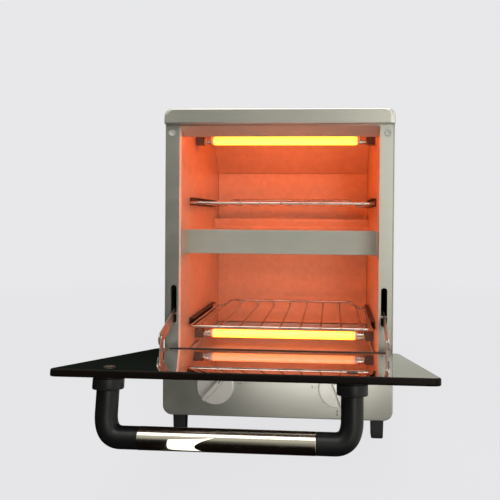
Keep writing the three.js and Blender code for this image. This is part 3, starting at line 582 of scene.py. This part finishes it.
bumper_rubber = soft_rubber()
for side in ("left", "right"):
    node = "bumper_" + side
    x, _, z = centre_of(node)
    front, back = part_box(node)[0].y / MM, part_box(node)[1].y / MM
    face = front + 0.02
    profile = [
        (1.1, back), (1.4, back - 0.4), (1.4, front + 1.2), (3.4, front + 1.2), (3.65, front + 0.9),
        (3.6, face + 0.35), (3.35, face + 0.05), (3.0, face), (2.6, face + 0.1), (2.35, face + 0.45),
        (2.0, face + 0.55), (1.3, face + 0.55), (0.9, face + 0.75), (0.2, face + 0.8),
    ]
    rings = turned_rings(profile, (x, z), steps=36)
    settle(skin(node + "_button", rings, bumper_rubber, sharp=70), "cabinet", "bumper_rubber", node)

# ---- Cavity liner, reflector and guards ----
# The cavity is a sleeve of zinc-coated sheet with a slanting reflector behind the top heater.
# A channel in front of the middle heater and a perforated strip behind it keep food off the quartz.
# The visor under the header, one sheet with the frame, takes the liner's finish: its warm tan there is painted
# glow of the heaters on the frame's steel.


def zinc_liner():
    """Zinc-coated sheet that has been hot: crystals of different tone, a warm tint, and faint spatter."""
    finish, tree = blank("zinc_liner")
    where = put(tree, "ShaderNodeTexCoord")
    crystals = put(tree, "ShaderNodeTexVoronoi", None, Vector=where.outputs["Object"], Scale=150.0)
    grain = use(tree, fine_brushing, Stretch=(60, 500, 500), Cloud_Size=26.0)
    marks = use(tree, handling_marks, Size=38.0)
    spangle = put(tree, "ShaderNodeSeparateColor", None, i0=crystals.outputs["Color"])
    tone = blend_colour(tree, spangle.outputs[0], (0.60, 0.42, 0.31, 1), (0.68, 0.48, 0.36, 1))
    warm = blend_colour(tree, spread(tree, grain.outputs["Clouds"], 0.0, 0.5), tone, (0.70, 0.42, 0.29, 1))
    baked = blend_colour(tree, spread(tree, marks.outputs["Specks"], 0.0, 0.35), warm, (0.34, 0.22, 0.15, 1))
    relief = put(tree, "ShaderNodeBump", None, Strength=0.2, Distance=0.00005, Height=grain.outputs["Clouds"])
    shine = spread(tree, marks.outputs["Smears"], 0.38, 0.52)
    return surfaced(finish, Base_Color=baked, Metallic=0.35, Roughness=shine, Normal=relief.outputs[0])


VISOR_ABOVE, VISOR_HALF = 310.0, 104.5

liner_finish = zinc_liner()
# Painted glow: the visor faces take the liner's warm finish so that they show the heaters' orange light.
front_sheet.data.materials.append(liner_finish)
for face in front_sheet.data.polygons:
    x, y, z = face.center / MM
    if z > VISOR_ABOVE and y > 0.0 and abs(x) < VISOR_HALF and abs(face.normal.x) < 0.5:
        face.material_index = 2
guard_finish = metal("guard_zinc", (0.42, 0.43, 0.37), (0.52, 0.53, 0.46), 0.5, (25, 900, 900), 30, 0.35)
for node in ("liner_shell", "liner_back", "liner_floor", "rear_reflector"):
    rolled(node, "cabinet", "zinc_sheet", liner_finish, 0.2)
rolled("middle_front_guard", "cabinet", "zinc_sheet", guard_finish, 0.35)
rolled("middle_rear_guard", "cabinet", "zinc_sheet", liner_finish, 0.12)

# ---- Heaters ----
# Three quartz tubes with a glowing coil inside, each held at both ends by a square ceramic block.
# The coil stops short of the ends, where the tube is dull and carries a crimped steel sleeve.

GLOW_HALF, GLOW_FADE = 83.0, 2.5


def hot_quartz(name, strength):
    """Frosted quartz over a glowing coil: bands along the tube where the turns show through, dying out at the
    ends. What shines nearby mirrors it at an eighth of its strength, as the frosting spreads its light."""
    finish, tree = blank(name)
    where = put(tree, "ShaderNodeTexCoord")
    parts = put(tree, "ShaderNodeSeparateXYZ", None, i0=where.outputs["Object"])
    off = put(tree, "ShaderNodeMath", {"operation": "ABSOLUTE"}, i0=parts.outputs["X"])
    lit = eased(tree, off.outputs[0], (GLOW_HALF + GLOW_FADE) * MM, (GLOW_HALF - GLOW_FADE) * MM)
    turns = put(
        tree, "ShaderNodeTexWave", {"bands_direction": "X"},
        Vector=where.outputs["Object"], Scale=130.0, Distortion=0.4, Detail=1.0,
    )
    band = spread(tree, turns.outputs["Fac"], 0.82, 1.0)
    glow = blend_colour(tree, product(tree, lit, band), (0.010, 0.002, 0.0005, 1), (1.0, 0.16, 0.004, 1))
    path = put(tree, "ShaderNodeLightPath")
    glow = blend_colour(tree, spread(tree, path.outputs["Is Glossy Ray"], 0.0, 0.88), glow, (0, 0, 0, 1))
    marks = use(tree, handling_marks, Size=120.0)
    colour = blend_colour(tree, marks.outputs["Smears"], (0.62, 0.56, 0.52, 1), (0.50, 0.44, 0.40, 1))
    shine = spread(tree, marks.outputs["Smears"], 0.2, 0.4)
    return surfaced(
        finish, Base_Color=colour, Roughness=shine, Emission_Color=glow, Emission_Strength=strength
    )


def fired_ceramic():
    """Brown steatite: matt, pitted and a little paler where it is rubbed."""
    finish, tree = blank("fired_ceramic")
    marks = use(tree, handling_marks, Size=220.0)
    grain = use(tree, fine_brushing, Stretch=(1400, 1400, 1400), Cloud_Size=90.0)
    colour = blend_colour(tree, grain.outputs["Clouds"], (0.13, 0.075, 0.050, 1), (0.23, 0.14, 0.10, 1))
    relief = put(tree, "ShaderNodeBump", None, Strength=0.5, Distance=0.0001, Height=grain.outputs["Lines"])
    shine = spread(tree, marks.outputs["Smears"], 0.7, 0.85)
    return surfaced(finish, Base_Color=colour, Roughness=shine, Normal=relief.outputs[0])


CRIMP = ((1.6, 0), (0.5, 0.1), (0.15, 1), (0.15, 3), (0.7, 3.6), (0.7, 4.4), (0, 5), (0, 8.6), (0.3, 9),
         (1.5, 9))
ceramic = fired_ceramic()
for level, strength in (("top", 30.0), ("middle", 17.0), ("bottom", 13.0)):
    quartz_glow = hot_quartz("hot_quartz_" + level, strength)
    node = "heater_tube_" + level
    low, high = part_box(node)
    _, y, z = centre_of(node)
    end, radius = high.x / MM, (high.z - low.z) / 2 / MM
    wall = [(radius - 0.1, s) for s in np.linspace(-(end - 6), end - 6, 60)]
    profile = [(radius - 0.7, -(end - 5.5))] + wall + [(radius - 0.7, end - 5.5)]
    tube = skin(node + "_quartz", turned_rings(profile, (y, z), "x", 24), quartz_glow, sharp=60)
    settle(tube, "cabinet", "quartz_tube", node)
    sleeves = []
    for sign in (-1, 1):
        crimp = [(radius - inset, sign * (end - back)) for inset, back in CRIMP]
        sleeves.append(skin("sleeve", turned_rings(crimp, (y, z), "x", 24), bright_steel, sharp=30))
    settle(joined(sleeves, node + "_sleeves"), "cabinet", "bright_steel")
    for side in ("left", "right"):
        rolled(f"heater_holder_{level}_{side}", "cabinet", "ceramic", ceramic, 0.6)

# ---- Rack channels ----
# Four short rails, open towards the cavity, spot-welded to its side walls; their near-black finish is painted
# shade along each rack's slot.

dark_steel = metal("dark_steel", (0.055, 0.042, 0.036), (0.10, 0.075, 0.062), 0.42, (900, 30, 900), 40, 0.7)
# Painted shade: the near-black finish stands in for the shadow along the rack slots.
for level in ("upper", "lower"):
    for side in ("left", "right"):
        rolled(f"rack_channel_{level}_{side}", "cabinet", "dark_steel", dark_steel, 0.15)

# ---- Wire racks ----
# Chromed round wire: a rim bent round with its back bar raised, and nine thinner wires welded across it.
# The welds show as small beads on the front bar.

RIM, FILL = 1.5, 1.1
FILL_COUNT, FILL_PITCH = 9, 22.3
BAR_FROM, BAR_UP_BY = 12, 20
WIRE_SINK = 0.4


def chromed_wire():
    """Chromed wire that has been hot: bright, with straw and brown tints that come and go along it."""
    finish, tree = blank("chrome_wire")
    marks = use(tree, handling_marks, Size=55.0)
    grain = use(tree, fine_brushing, Stretch=(600, 600, 600), Cloud_Size=70.0)
    browned = spread(tree, grain.outputs["Clouds"], -0.4, 1.2)
    tint = blend_colour(tree, browned, (0.66, 0.58, 0.52, 1), (0.40, 0.28, 0.22, 1))
    return surfaced(
        finish, Base_Color=tint, Metallic=1.0, Roughness=spread(tree, marks.outputs["Smears"], 0.12, 0.32)
    )


def bent_line(corners, radius, steps=7):
    """A line through corners, each replaced by a curve that starts and ends the radius away from it: its point
    at t lies (1-t)(1-t) of the start, 2t(1-t) of the corner and t*t of the end."""
    corners = [np.array(c, float) for c in corners]
    line = [corners[0][None]]
    t = np.linspace(0, 1, steps)[:, None]
    for before, here, after in zip(corners, corners[1:], corners[2:]):
        back, on = before - here, after - here
        a = here + back / np.linalg.norm(back) * min(radius, np.linalg.norm(back) / 2.01)
        b = here + on / np.linalg.norm(on) * min(radius, np.linalg.norm(on) / 2.01)
        line.append((1 - t) ** 2 * a + 2 * t * (1 - t) * here + t * t * b)
    line.append(corners[-1][None])
    return np.concatenate(line)


def round_bar(line, radius, lean=(0.31, 0.17, 0.93), steps=12, rounded=True):
    """Rings of a round bar along a line: each ring lies square to the line there, and rounded ends draw in to
    a dome."""
    line = np.asarray(line, float)
    along = np.gradient(line, axis=0)
    along /= np.linalg.norm(along, axis=1, keepdims=True)
    out = np.cross(along, lean)
    out /= np.linalg.norm(out, axis=1, keepdims=True)
    up = np.cross(along, out)
    size = np.full(len(line), float(radius))
    if rounded:
        dome = np.radians([80, 55, 28])
        head = line[0] - along[0] * radius * np.sin(dome)[:, None]
        tail = line[-1] + along[-1] * radius * np.sin(dome)[::-1, None]
        line = np.concatenate([head, line, tail])
        size = np.concatenate([radius * np.cos(dome), size, radius * np.cos(dome)[::-1]])
        out = np.concatenate([np.repeat(out[:1], 3, 0), out, np.repeat(out[-1:], 3, 0)])
        up = np.concatenate([np.repeat(up[:1], 3, 0), up, np.repeat(up[-1:], 3, 0)])
    turn = np.linspace(0, 2 * np.pi, steps, endpoint=False)
    return (
        line[:, None]
        + size[:, None, None] * (out[:, None] * np.cos(turn)[:, None] + up[:, None] * np.sin(turn)[:, None])
    )


chrome_wire = chromed_wire()
for level in ("upper", "lower"):
    node = level + "_rack"
    low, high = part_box(node)
    half = high.x / MM - RIM
    front, back = low.y / MM + RIM, high.y / MM - RIM
    z = low.z / MM + RIM
    rise = high.z / MM - RIM
    wires = []
    for sign in (-1, 1):
        rim = bent_line(
            [(-sign * 0.5, front, z), (sign * half, front, z), (sign * half, back, z),
             (sign * (half - BAR_FROM), back, z), (sign * (half - BAR_UP_BY), back, rise),
             (-sign * 0.5, back, rise)],
            6.5, 9,
        )
        wires.append(skin("rim", round_bar(rim, RIM, steps=14), chrome_wire, sharp=70))
    for n in range(FILL_COUNT):
        x = (n - FILL_COUNT // 2) * FILL_PITCH
        rest = z + RIM - FILL
        corners = [(x, front - WIRE_SINK, rest), (x, back - WIRE_SINK, rest)]
        if abs(x) < half - BAR_UP_BY:
            corners.append((x, back - WIRE_SINK, rise - 0.2))
        line = bent_line(corners, 4, 7) if len(corners) > 2 else np.linspace(corners[0], corners[1], 12)
        rod = round_bar(line, FILL, lean=(0.9, 0.1, 0.3), steps=10)
        wires.append(skin("fill", rod, chrome_wire, sharp=70))
        bead = turned_rings(
            [(0.2, front - 1.7), (0.9, front - 1.5), (1.45, front - 0.6), (1.5, front + 0.4),
             (1.1, front + 1.3), (0.2, front + 1.6)],
            (x, z + 0.7), steps=12,
        )
        wires.append(skin("bead", bead, chrome_wire, sharp=80))
    settle(joined(wires, node + "_wires"), node, "chrome_wire", node)

# ---- Crumb tray ----
# A shallow folded pan of thin zinc sheet that draws out at the back by a lip with a rolled grip.

rolled("crumb_tray", "crumb_tray", "zinc_sheet", zinc_sheet, 0.18)

# ---- Timer and switch behind the panel ----
# Moulded housings screwed behind the panel, with plated shafts that carry the knobs.


def moulded(name, dark, light, rough, grain_size=1100, shine_level=0.5):
    """Moulded plastic: a fine spark-eroded texture, slow change of tone and shine, and paler where its rings
    are marked: edge wear and painted highlight on rims.
    """
    finish, tree = blank(name)
    grain = use(tree, fine_brushing, Stretch=(grain_size, grain_size, grain_size), Cloud_Size=40.0)
    marks = use(tree, handling_marks, Size=45.0)
    colour = blend_colour(tree, grain.outputs["Clouds"], (*dark, 1), (*light, 1))
    wear_and_highlight = put(tree, "ShaderNodeAttribute", {"attribute_name": "wear_and_highlight"})
    pale = tuple(min(1.0, c * 2.2 + 0.012) for c in light)
    colour = blend_colour(tree, product(tree, wear_and_highlight.outputs["Fac"], 0.6), colour, (*pale, 1))
    shine = put(
        tree, "ShaderNodeMath", {"operation": "SUBTRACT"},
        i0=spread(tree, grain.outputs["Clouds"], rough - 0.05, rough + 0.08),
        i1=spread(tree, marks.outputs["Smears"], 0.0, 0.10),
    )
    relief = put(
        tree, "ShaderNodeBump", None, Strength=0.35, Distance=0.00006, Height=grain.outputs["Lines"]
    )
    return surfaced(
        finish, Base_Color=colour, Roughness=shine.outputs[0], Normal=relief.outputs[0],
        Specular_IOR_Level=shine_level,
    )


housing_plastic = moulded("control_housing", (0.62, 0.60, 0.52), (0.70, 0.68, 0.60), 0.55)
for node in ("timer", "function_switch"):
    rolled(node, "cabinet", "control_housing", housing_plastic, 0.8)


def dress(node, finish):
    """Gives a CAD piece that keeps its own shape its finished material."""
    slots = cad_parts[node].material_slots
    if not slots:
        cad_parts[node].data.materials.append(finish)
    for held in slots:
        held.material = finish


for node in ("timer_shaft", "function_shaft", "hinge_rod"):
    dress(node, bright_steel)

# ---- Knobs ----
# Two silver-finished knobs, each a disc with a full-width finger grip that tapers to its crown.
# A short black line on the grip's crown points at the dial.

KNOB = 19.3
DISC, GRIP_RISE = 5.2, 8.2
DIAL_LINE = 55.3
DIALS = {"function": (-63.0, 42.0), "timer": (63.0, -20.0)}
knob_silver = metal(
    "knob_silver", (0.62, 0.595, 0.55), (0.74, 0.71, 0.66), 0.36, (900, 900, 900), 60, 0.35,
    wear_highlight_colour=(0.90, 0.88, 0.84), depth=0.00002,
)


def print_ink():
    """Dark screen-printing ink, slightly broken up by the grain under it."""
    finish, tree = blank("panel_ink")
    grain = use(tree, fine_brushing, Stretch=(2000, 2000, 2000), Cloud_Size=200.0)
    colour = blend_colour(tree, grain.outputs["Lines"], (0.018, 0.018, 0.019, 1), (0.07, 0.07, 0.068, 1))
    return surfaced(finish, Base_Color=colour, Roughness=spread(tree, grain.outputs["Clouds"], 0.4, 0.6))


panel_ink = print_ink()


def grip_height(turn):
    """The finger grip over the disc: full height within half its width of the line at that turn, falling away
    in a smooth flank, narrower as it rises, and sloping down at both ends."""
    c, s = math.cos(turn), math.sin(turn)

    def height(a, b, profile):
        across = a * c - b * s
        along = a * s + b * c
        near_end = np.clip((KNOB - 0.6 - np.abs(along)) / 2.4, 0, 1)
        flank = np.clip((3.6 - np.abs(across)) / 1.7, 0, 1)
        rise = flank * flank * (3 - 2 * flank) * near_end * near_end * (3 - 2 * near_end)
        return -GRIP_RISE * rise * (1 - 0.06 * (along / KNOB) ** 2) * profile[:, 2:3]

    return height


for name, (x, degrees) in DIALS.items():
    node = name + "_knob"
    z = DIAL_LINE
    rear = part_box(node)[1].y / MM
    face = rear - DISC
    turn = math.radians(degrees)
    radii = np.concatenate([np.linspace(KNOB - 0.9, 1.0, 44), [0.3]])
    profile = [(3.4, rear, 0), (KNOB - 0.5, rear, 0), (KNOB, rear - 0.5, 0), (KNOB, rear - 3.6, 0),
               (KNOB - 0.12, rear - 4.3, 0), (KNOB - 0.45, rear - 4.9, 0)]
    crown = [(r, face, 1) for r in radii]
    rings = turned_rings(profile + crown, (x, z), steps=180, height=grip_height(turn))
    # The marked rings paint the knob's rim and crown edge paler: edge wear and painted highlight.
    wear_and_highlight = [0, 0.2, 0.6, 0.1, 0.3, 0.8] + [0.5 if r > KNOB - 1.5 else 0.0 for r in radii]
    settle(skin(name + "_knob_turned", rings, knob_silver, wear_and_highlight, 60), name + "_dial", "knob_silver", node)
    tip = np.linspace(7.5, 14.5, 8)
    line = np.stack([x + tip * math.sin(turn), np.full(8, face - 8.05), z + tip * math.cos(turn)], -1)
    line_rings = round_bar(line, 0.42, lean=(0, 1, 0), steps=8)
    pointer = skin(name + "_pointer_line", line_rings, panel_ink, sharp=80)
    settle(pointer, name + "_dial", "black_plastic")

# ---- Printed dial marks ----
# Screen-printed on the control panel round each knob: minutes round the timer, and bars for the heaters
# in use round the function knob. Each mark is a film of ink on the steel.


def ink_film(name, flats):
    """Ink marks as thin slabs: each flat outline in X and Z, from just in front of the panel's face into it."""
    points, faces = [], []
    for flat in flats:
        first, count = len(points), len(flat)
        points += [(px, PAN_FRONT + y, pz) for y in (-0.03, 0.05) for px, pz in flat]
        faces.append([first + n for n in range(count)])
        faces.append([first + count + n for n in range(count)][::-1])
        faces += [
            [first + n, first + count + n, first + count + (n + 1) % count, first + (n + 1) % count]
            for n in range(count)
        ]
    piece = mesh_piece(name, points, faces, panel_ink)
    faced_outwards(piece.data)
    return settle(piece, "cabinet", "black_plastic")


def dot(x, z, radius=0.75, steps=14):
    """A round dot: points at equal turns about its middle."""
    turn = np.linspace(0, 2 * np.pi, steps, endpoint=False)
    return np.stack([x + radius * np.cos(turn), z + radius * np.sin(turn)], -1).tolist()


def bar(x, z, turn, long, wide):
    """A short bar: a rectangle about its middle, with its long side at the given turn from upright."""
    s, c = math.sin(turn), math.cos(turn)
    square = np.array([(-wide, -long), (wide, -long), (wide, long), (-wide, long)]) / 2
    across, up = square.T
    return np.stack([x + across * c + up * s, z - across * s + up * c], -1).tolist()


def printed_number(body, x, z, size):
    """A number as a mesh on the panel's face, upright and facing forwards."""
    type_block = bpy.data.curves.new("minutes_" + body, "FONT")
    type_block.body = body
    type_block.size = size * MM
    type_block.align_x = "CENTER"
    type_block.align_y = "CENTER"
    type_block.extrude = 0.03 * MM
    held = bpy.data.objects.new("minutes_" + body, type_block)
    bpy.context.scene.collection.objects.link(held)
    bpy.context.view_layer.update()
    mesh = bpy.data.meshes.new_from_object(held)
    bpy.data.objects.remove(held)
    for vertex in mesh.vertices:
        across, up, deep = vertex.co
        vertex.co = (across + x * MM, PAN_FRONT * MM - deep, up + z * MM)
    mesh.materials.clear()
    mesh.materials.append(panel_ink)
    number = bpy.data.objects.new("minutes_" + body, mesh)
    bpy.context.scene.collection.objects.link(number)
    return settle(number, "cabinet", "black_plastic")


timer_x, dial_z = DIALS["timer"][0], DIAL_LINE
ticks = []
for step in range(13):
    turn = math.radians(-180 + step * 22.5)
    reach, long = (KNOB + 2.6, 1.3) if step % 4 else (KNOB + 3.0, 2.2)
    ticks.append(bar(timer_x + reach * math.sin(turn), dial_z + reach * math.cos(turn), turn, long, 0.32))
ticks.append(dot(timer_x, dial_z - KNOB - 5.2, 0.8))
ink_film("timer_ticks", ticks)
for body, degrees in (("0", -180), ("5", -90), ("10", 0), ("15", 90)):
    turn = math.radians(degrees)
    reach = KNOB + (8.6 if degrees == -180 else 6.6)
    printed_number(body, timer_x + reach * math.sin(turn), dial_z + reach * math.cos(turn), 4.4)

function_x = DIALS["function"][0]
signs = []
for degrees, rows in ((-42, (0,)), (0, (1.1, -1.1)), (42, (1.1,)), (84, (-1.1,))):
    turn = math.radians(degrees)
    mid_x = function_x + (KNOB + 5.6) * math.sin(turn)
    mid_z = dial_z + (KNOB + 4.4) * math.cos(turn)
    reach = KNOB + 2.2
    signs.append(dot(function_x + reach * math.sin(turn), dial_z + reach * math.cos(turn), 0.45))
    if degrees == -42:
        signs.append(dot(mid_x, mid_z, 0.9))
        continue
    signs += [bar(mid_x, mid_z + row, math.pi / 2, 4.0, 0.55) for row in rows]
ink_film("function_signs", signs)

# ---- Feet ----
# Four square black plastic feet, tapered and rounded at the sole, pushed into the bent base.

FOOT_TAPER = ((4, 0.4, 1.0), (1.4, 0.45, 1.2), (0.5, 0.65, 1.4), (0.1, 1.2, 1.6), (0.02, 2.0, 1.6))
foot_plastic = moulded("foot_plastic", (0.010, 0.010, 0.011), (0.020, 0.020, 0.021), 0.48)
for row in ("front", "rear"):
    for side in ("left", "right"):
        node = f"foot_{row}_{side}"
        low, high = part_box(node)
        x, y, _ = centre_of(node)
        top = high.z / MM
        half = (high.x - low.x) / 2 / MM
        rings = []
        for level, inset, corner in ((top, 0, 0.8), *FOOT_TAPER):
            flat = rounded_ring(
                x - half + inset, x + half - inset, y - half + inset, y + half - inset, corner, corner, 6
            )
            rings.append(np.stack([flat[:, 0], flat[:, 1], np.full(len(flat), level)], -1))
        moulding = skin(node + "_moulding", rings, foot_plastic, [0, 0, 0.1, 0.5, 0.8, 0.2], 40)
        settle(moulding, "cabinet", "black_plastic", node)

# ---- Cord inlet ----
# A black moulded gland at the back, where a mains lead would enter.

cord_plastic = moulded("gland_plastic", (0.014, 0.014, 0.015), (0.024, 0.024, 0.025), 0.5)
x, _, z = centre_of("cord_inlet")
front, back = (corner.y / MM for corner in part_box("cord_inlet"))
gland = [(3.6, front), (6.6, front), (6.9, front + 0.4), (6.9, back - 6.9), (9.4, back - 6.9),
         (9.9, back - 6.4), (9.9, back - 5.2), (9.2, back - 4.6), (7.2, back - 4.2), (6.6, back - 3.6),
         (6.2, back - 3.4), (6.4, back - 2.6), (6.0, back - 2.2), (6.2, back - 1.4), (5.8, back - 0.5),
         (5.2, back), (4.1, back), (3.6, back - 0.5)]
settle(
    skin("cord_gland", turned_rings(gland + gland[:1], (x, z), steps=40), cord_plastic, sharp=40, ends=False),
    "cabinet", "black_plastic", "cord_inlet",
)

# ---- Door glass ----
# One pane of dark tinted tempered glass with ground and polished edges and rounded corners.
# It is drawn here shut, round the hinge axis, and turned open to where it rests.

HINGE = np.array([0.0, -8.8599, 87.2])
OPEN = math.radians(80.3)
PANE, PANE_LOW, PANE_HIGH, PANE_HALF = 5.0, 4.4, 239.2, 125.0
PANE_CORNER, PANE_GRIND = 6.0, 1.1


def opened(points):
    """Points of the shut door turned about the hinge axis to where the open door rests."""
    points = np.asarray(points, float)
    c, s = math.cos(OPEN), math.sin(OPEN)
    x, y, z = points[..., 0], points[..., 1], points[..., 2]
    return HINGE + np.stack([x, y * c - z * s, y * s + z * c], -1)


def tinted_glass():
    """Dark bronze glass: faint wipe marks and finger smears roughen it."""
    finish, tree = blank("tinted_glass")
    marks = use(tree, handling_marks, Size=22.0)
    streaks = use(tree, fine_brushing, Stretch=(9, 60, 60), Cloud_Size=12.0)
    smear = product(tree, marks.outputs["Smears"], streaks.outputs["Lines"])
    colour = blend_colour(tree, smear, (0.030, 0.016, 0.013, 1), (0.050, 0.030, 0.024, 1))
    return surfaced(
        finish, Base_Color=colour, Metallic=0.0, Roughness=spread(tree, smear, 0.012, 0.06), IOR=2.2,
        Transmission_Weight=0.9, Coat_Weight=1.0, Coat_Roughness=0.01, Coat_IOR=2.6,
    )


def ground_edge():
    """The ground and polished rim of the pane: all but black, with a fine grinding grain."""
    finish, tree = blank("ground_edge")
    grain = use(tree, fine_brushing, Stretch=(260, 1800, 1800), Cloud_Size=90.0)
    colour = blend_colour(tree, grain.outputs["Lines"], (0.004, 0.0025, 0.002, 1), (0.010, 0.007, 0.006, 1))
    return surfaced(
        finish, Base_Color=colour, Roughness=spread(tree, grain.outputs["Clouds"], 0.16, 0.34), IOR=1.2,
        Specular_IOR_Level=0.25,
    )


black_glass = tinted_glass()
polished_edge = ground_edge()


def pane_ring(inset, y):
    """The pane's outline brought in by the inset, at a depth through the glass."""
    corner = PANE_CORNER - inset
    flat = rounded_ring(
        -PANE_HALF + inset, PANE_HALF - inset, PANE_LOW + inset, PANE_HIGH - inset, corner, corner, 12
    )
    return np.stack([flat[:, 0], np.full(len(flat), y), flat[:, 1]], -1)


edge = np.linspace(0, np.pi / 2, 6)
pane = [pane_ring(PANE_GRIND * (1 - math.sin(t)), PANE_GRIND * (1 - math.cos(t))) for t in edge]
pane += [pane_ring(PANE_GRIND * (1 - math.cos(t)), PANE - PANE_GRIND * (1 - math.sin(t))) for t in edge]
door_pane = skin("door_pane", opened(pane), black_glass, sharp=60)
door_pane.data.materials.append(polished_edge)
edge_faces = np.ones(len(door_pane.data.polygons), np.int32)
edge_faces[-2:] = 0
door_pane.data.polygons.foreach_set("material_index", edge_faces)
settle(door_pane, "door", "black_glass", "door_glass")

# ---- Door hinge: rail, brackets, ears and link arms ----
# A rolled rail of dark sheet grips the foot of the pane and turns on a steel rod between two brackets.
# Ears on the pane carry flat arms that run back through the jambs and hold the door open.

rolled("door_hinge_rail", "door", "dark_steel", dark_steel, 0.15, 30)
# Painted reflection: the arms and ears take a warm reddish-brown tone for the cavity's orange glow on their
# plated steel.
glow_tinted_arm_steel = metal(
    "glow_tinted_arm_steel", (0.30, 0.24, 0.22), (0.42, 0.35, 0.32), 0.34, (900, 60, 900), 70, 0.9, depth=0.00002
)
for side in ("left", "right"):
    rolled("hinge_bracket_" + side, "cabinet", "satin_steel", satin_steel, 0.12)
    rolled("door_ear_" + side, "door", "bright_steel", glow_tinted_arm_steel, 0.12)
    rolled("link_arm_" + side, "link_arm_" + side, "bright_steel", glow_tinted_arm_steel, 0.15)

# ---- Handle ----
# Two black plastic elbows stand on collars screwed through the pane, and a steel tube joins them.

STAND, SPREAD, OFFSET, SHANK = 40.1, 163.0, -11.0, 23.0
HANDLE_LINE = PANE_HIGH - 22
LEG, LEG_BEND = 7.4, 17
CROWN = 3.5
handle_plastic = moulded(
    "handle_plastic", (0.004, 0.004, 0.0045), (0.009, 0.009, 0.0095), 0.38, 1300, shine_level=0.3
)
handle_steel = metal(
    "handle_steel", (0.52, 0.485, 0.41), (0.62, 0.585, 0.50), 0.17, (30, 2200, 2200), 60, 1.0,
    depth=0.00002, bump=0.15,
)
for side, sign in (("left", -1), ("right", 1)):
    node = "handle_post_" + side
    x = OFFSET + sign * SPREAD / 2
    inward = x - sign * SHANK
    collar = [(2.6, -0.35), (9.7, -0.35), (10.1, -0.8), (10.1, -1.6), (9.9, -1.9), (10.3, -2.4), (10.3, -8.3),
              (10.15, -8.9), (9.7, -9.3), (9.0, -9.4), (7.9, -9.4), (7.5, -9.7), (7.3, -10.3), (2.6, -10.3)]
    ring = turned_rings(collar, (x, HANDLE_LINE), steps=56)
    # The marked rings paint the collar's rims paler: edge wear and painted highlight.
    wear_and_highlight = [0, 0.2, 0.7, 0.2, 0.1, 0.5, 0.3, 0.9, 0.8, 0.2, 0, 0, 0, 0]
    collar_piece = skin("collar", opened(ring), handle_plastic, wear_and_highlight, 28)
    path = [(x, -8.9, HANDLE_LINE), (x, -STAND, HANDLE_LINE), (inward, -STAND, HANDLE_LINE)]
    line = bent_line(path, LEG_BEND, 26)
    bar_rings = round_bar(line, LEG, lean=(0, 0, 1), steps=44, rounded=False)
    middle = bar_rings[-1].mean(0)
    lip = middle + (bar_rings[-1] - middle) * 0.93 - np.array([sign * 0.35, 0, 0])
    elbow = skin("elbow", opened(np.concatenate([bar_rings, lip[None]])), handle_plastic, None, 40)
    settle(joined([collar_piece, elbow], node + "_moulding"), "door", "black_plastic", node)

    screw = "handle_screw_" + side
    dome = [(r, PANE + 1.08 - 0.6 * (r / CROWN) ** 2, 1) for r in np.linspace(CROWN, 0.15, 18)]
    head = [(2.2, -5.3, 0), (2.2, PANE + 0.1, 0), (3.8, PANE + 0.1, 0), (4.0, PANE + 0.22, 0),
            (3.9, PANE + 0.36, 0)]
    rings = turned_rings(head + dome, (x, HANDLE_LINE), steps=48, height=cross_recess(0.7, 2.0, 0.5))
    settle(skin(screw + "_head", opened(rings), dark_steel), "door", "bright_steel", screw)

TUBE, BORE = 7.5, 6.7
reach = SPREAD / 2 - SHANK - 0.3
start, stop = OFFSET - reach, OFFSET + reach
ends = [(BORE, start + 0.4), (6.9, start), (7.3, start), (TUBE, start + 0.25)]
span = [(TUBE, s) for s in np.linspace(start + 1, stop - 1, 40)]
tails = [(TUBE, stop - 0.25), (7.3, stop), (6.9, stop), (BORE, stop - 0.4)]
bore = [(BORE, s) for s in np.linspace(stop - 1, start + 1, 12)]
tube = turned_rings(ends + span + tails + bore + ends[:1], (-STAND, HANDLE_LINE), "x", 56)
handle_bar = skin("handle_bar", opened(tube), handle_steel, sharp=35, ends=False)
settle(handle_bar, "door", "bright_steel", "handle_tube")
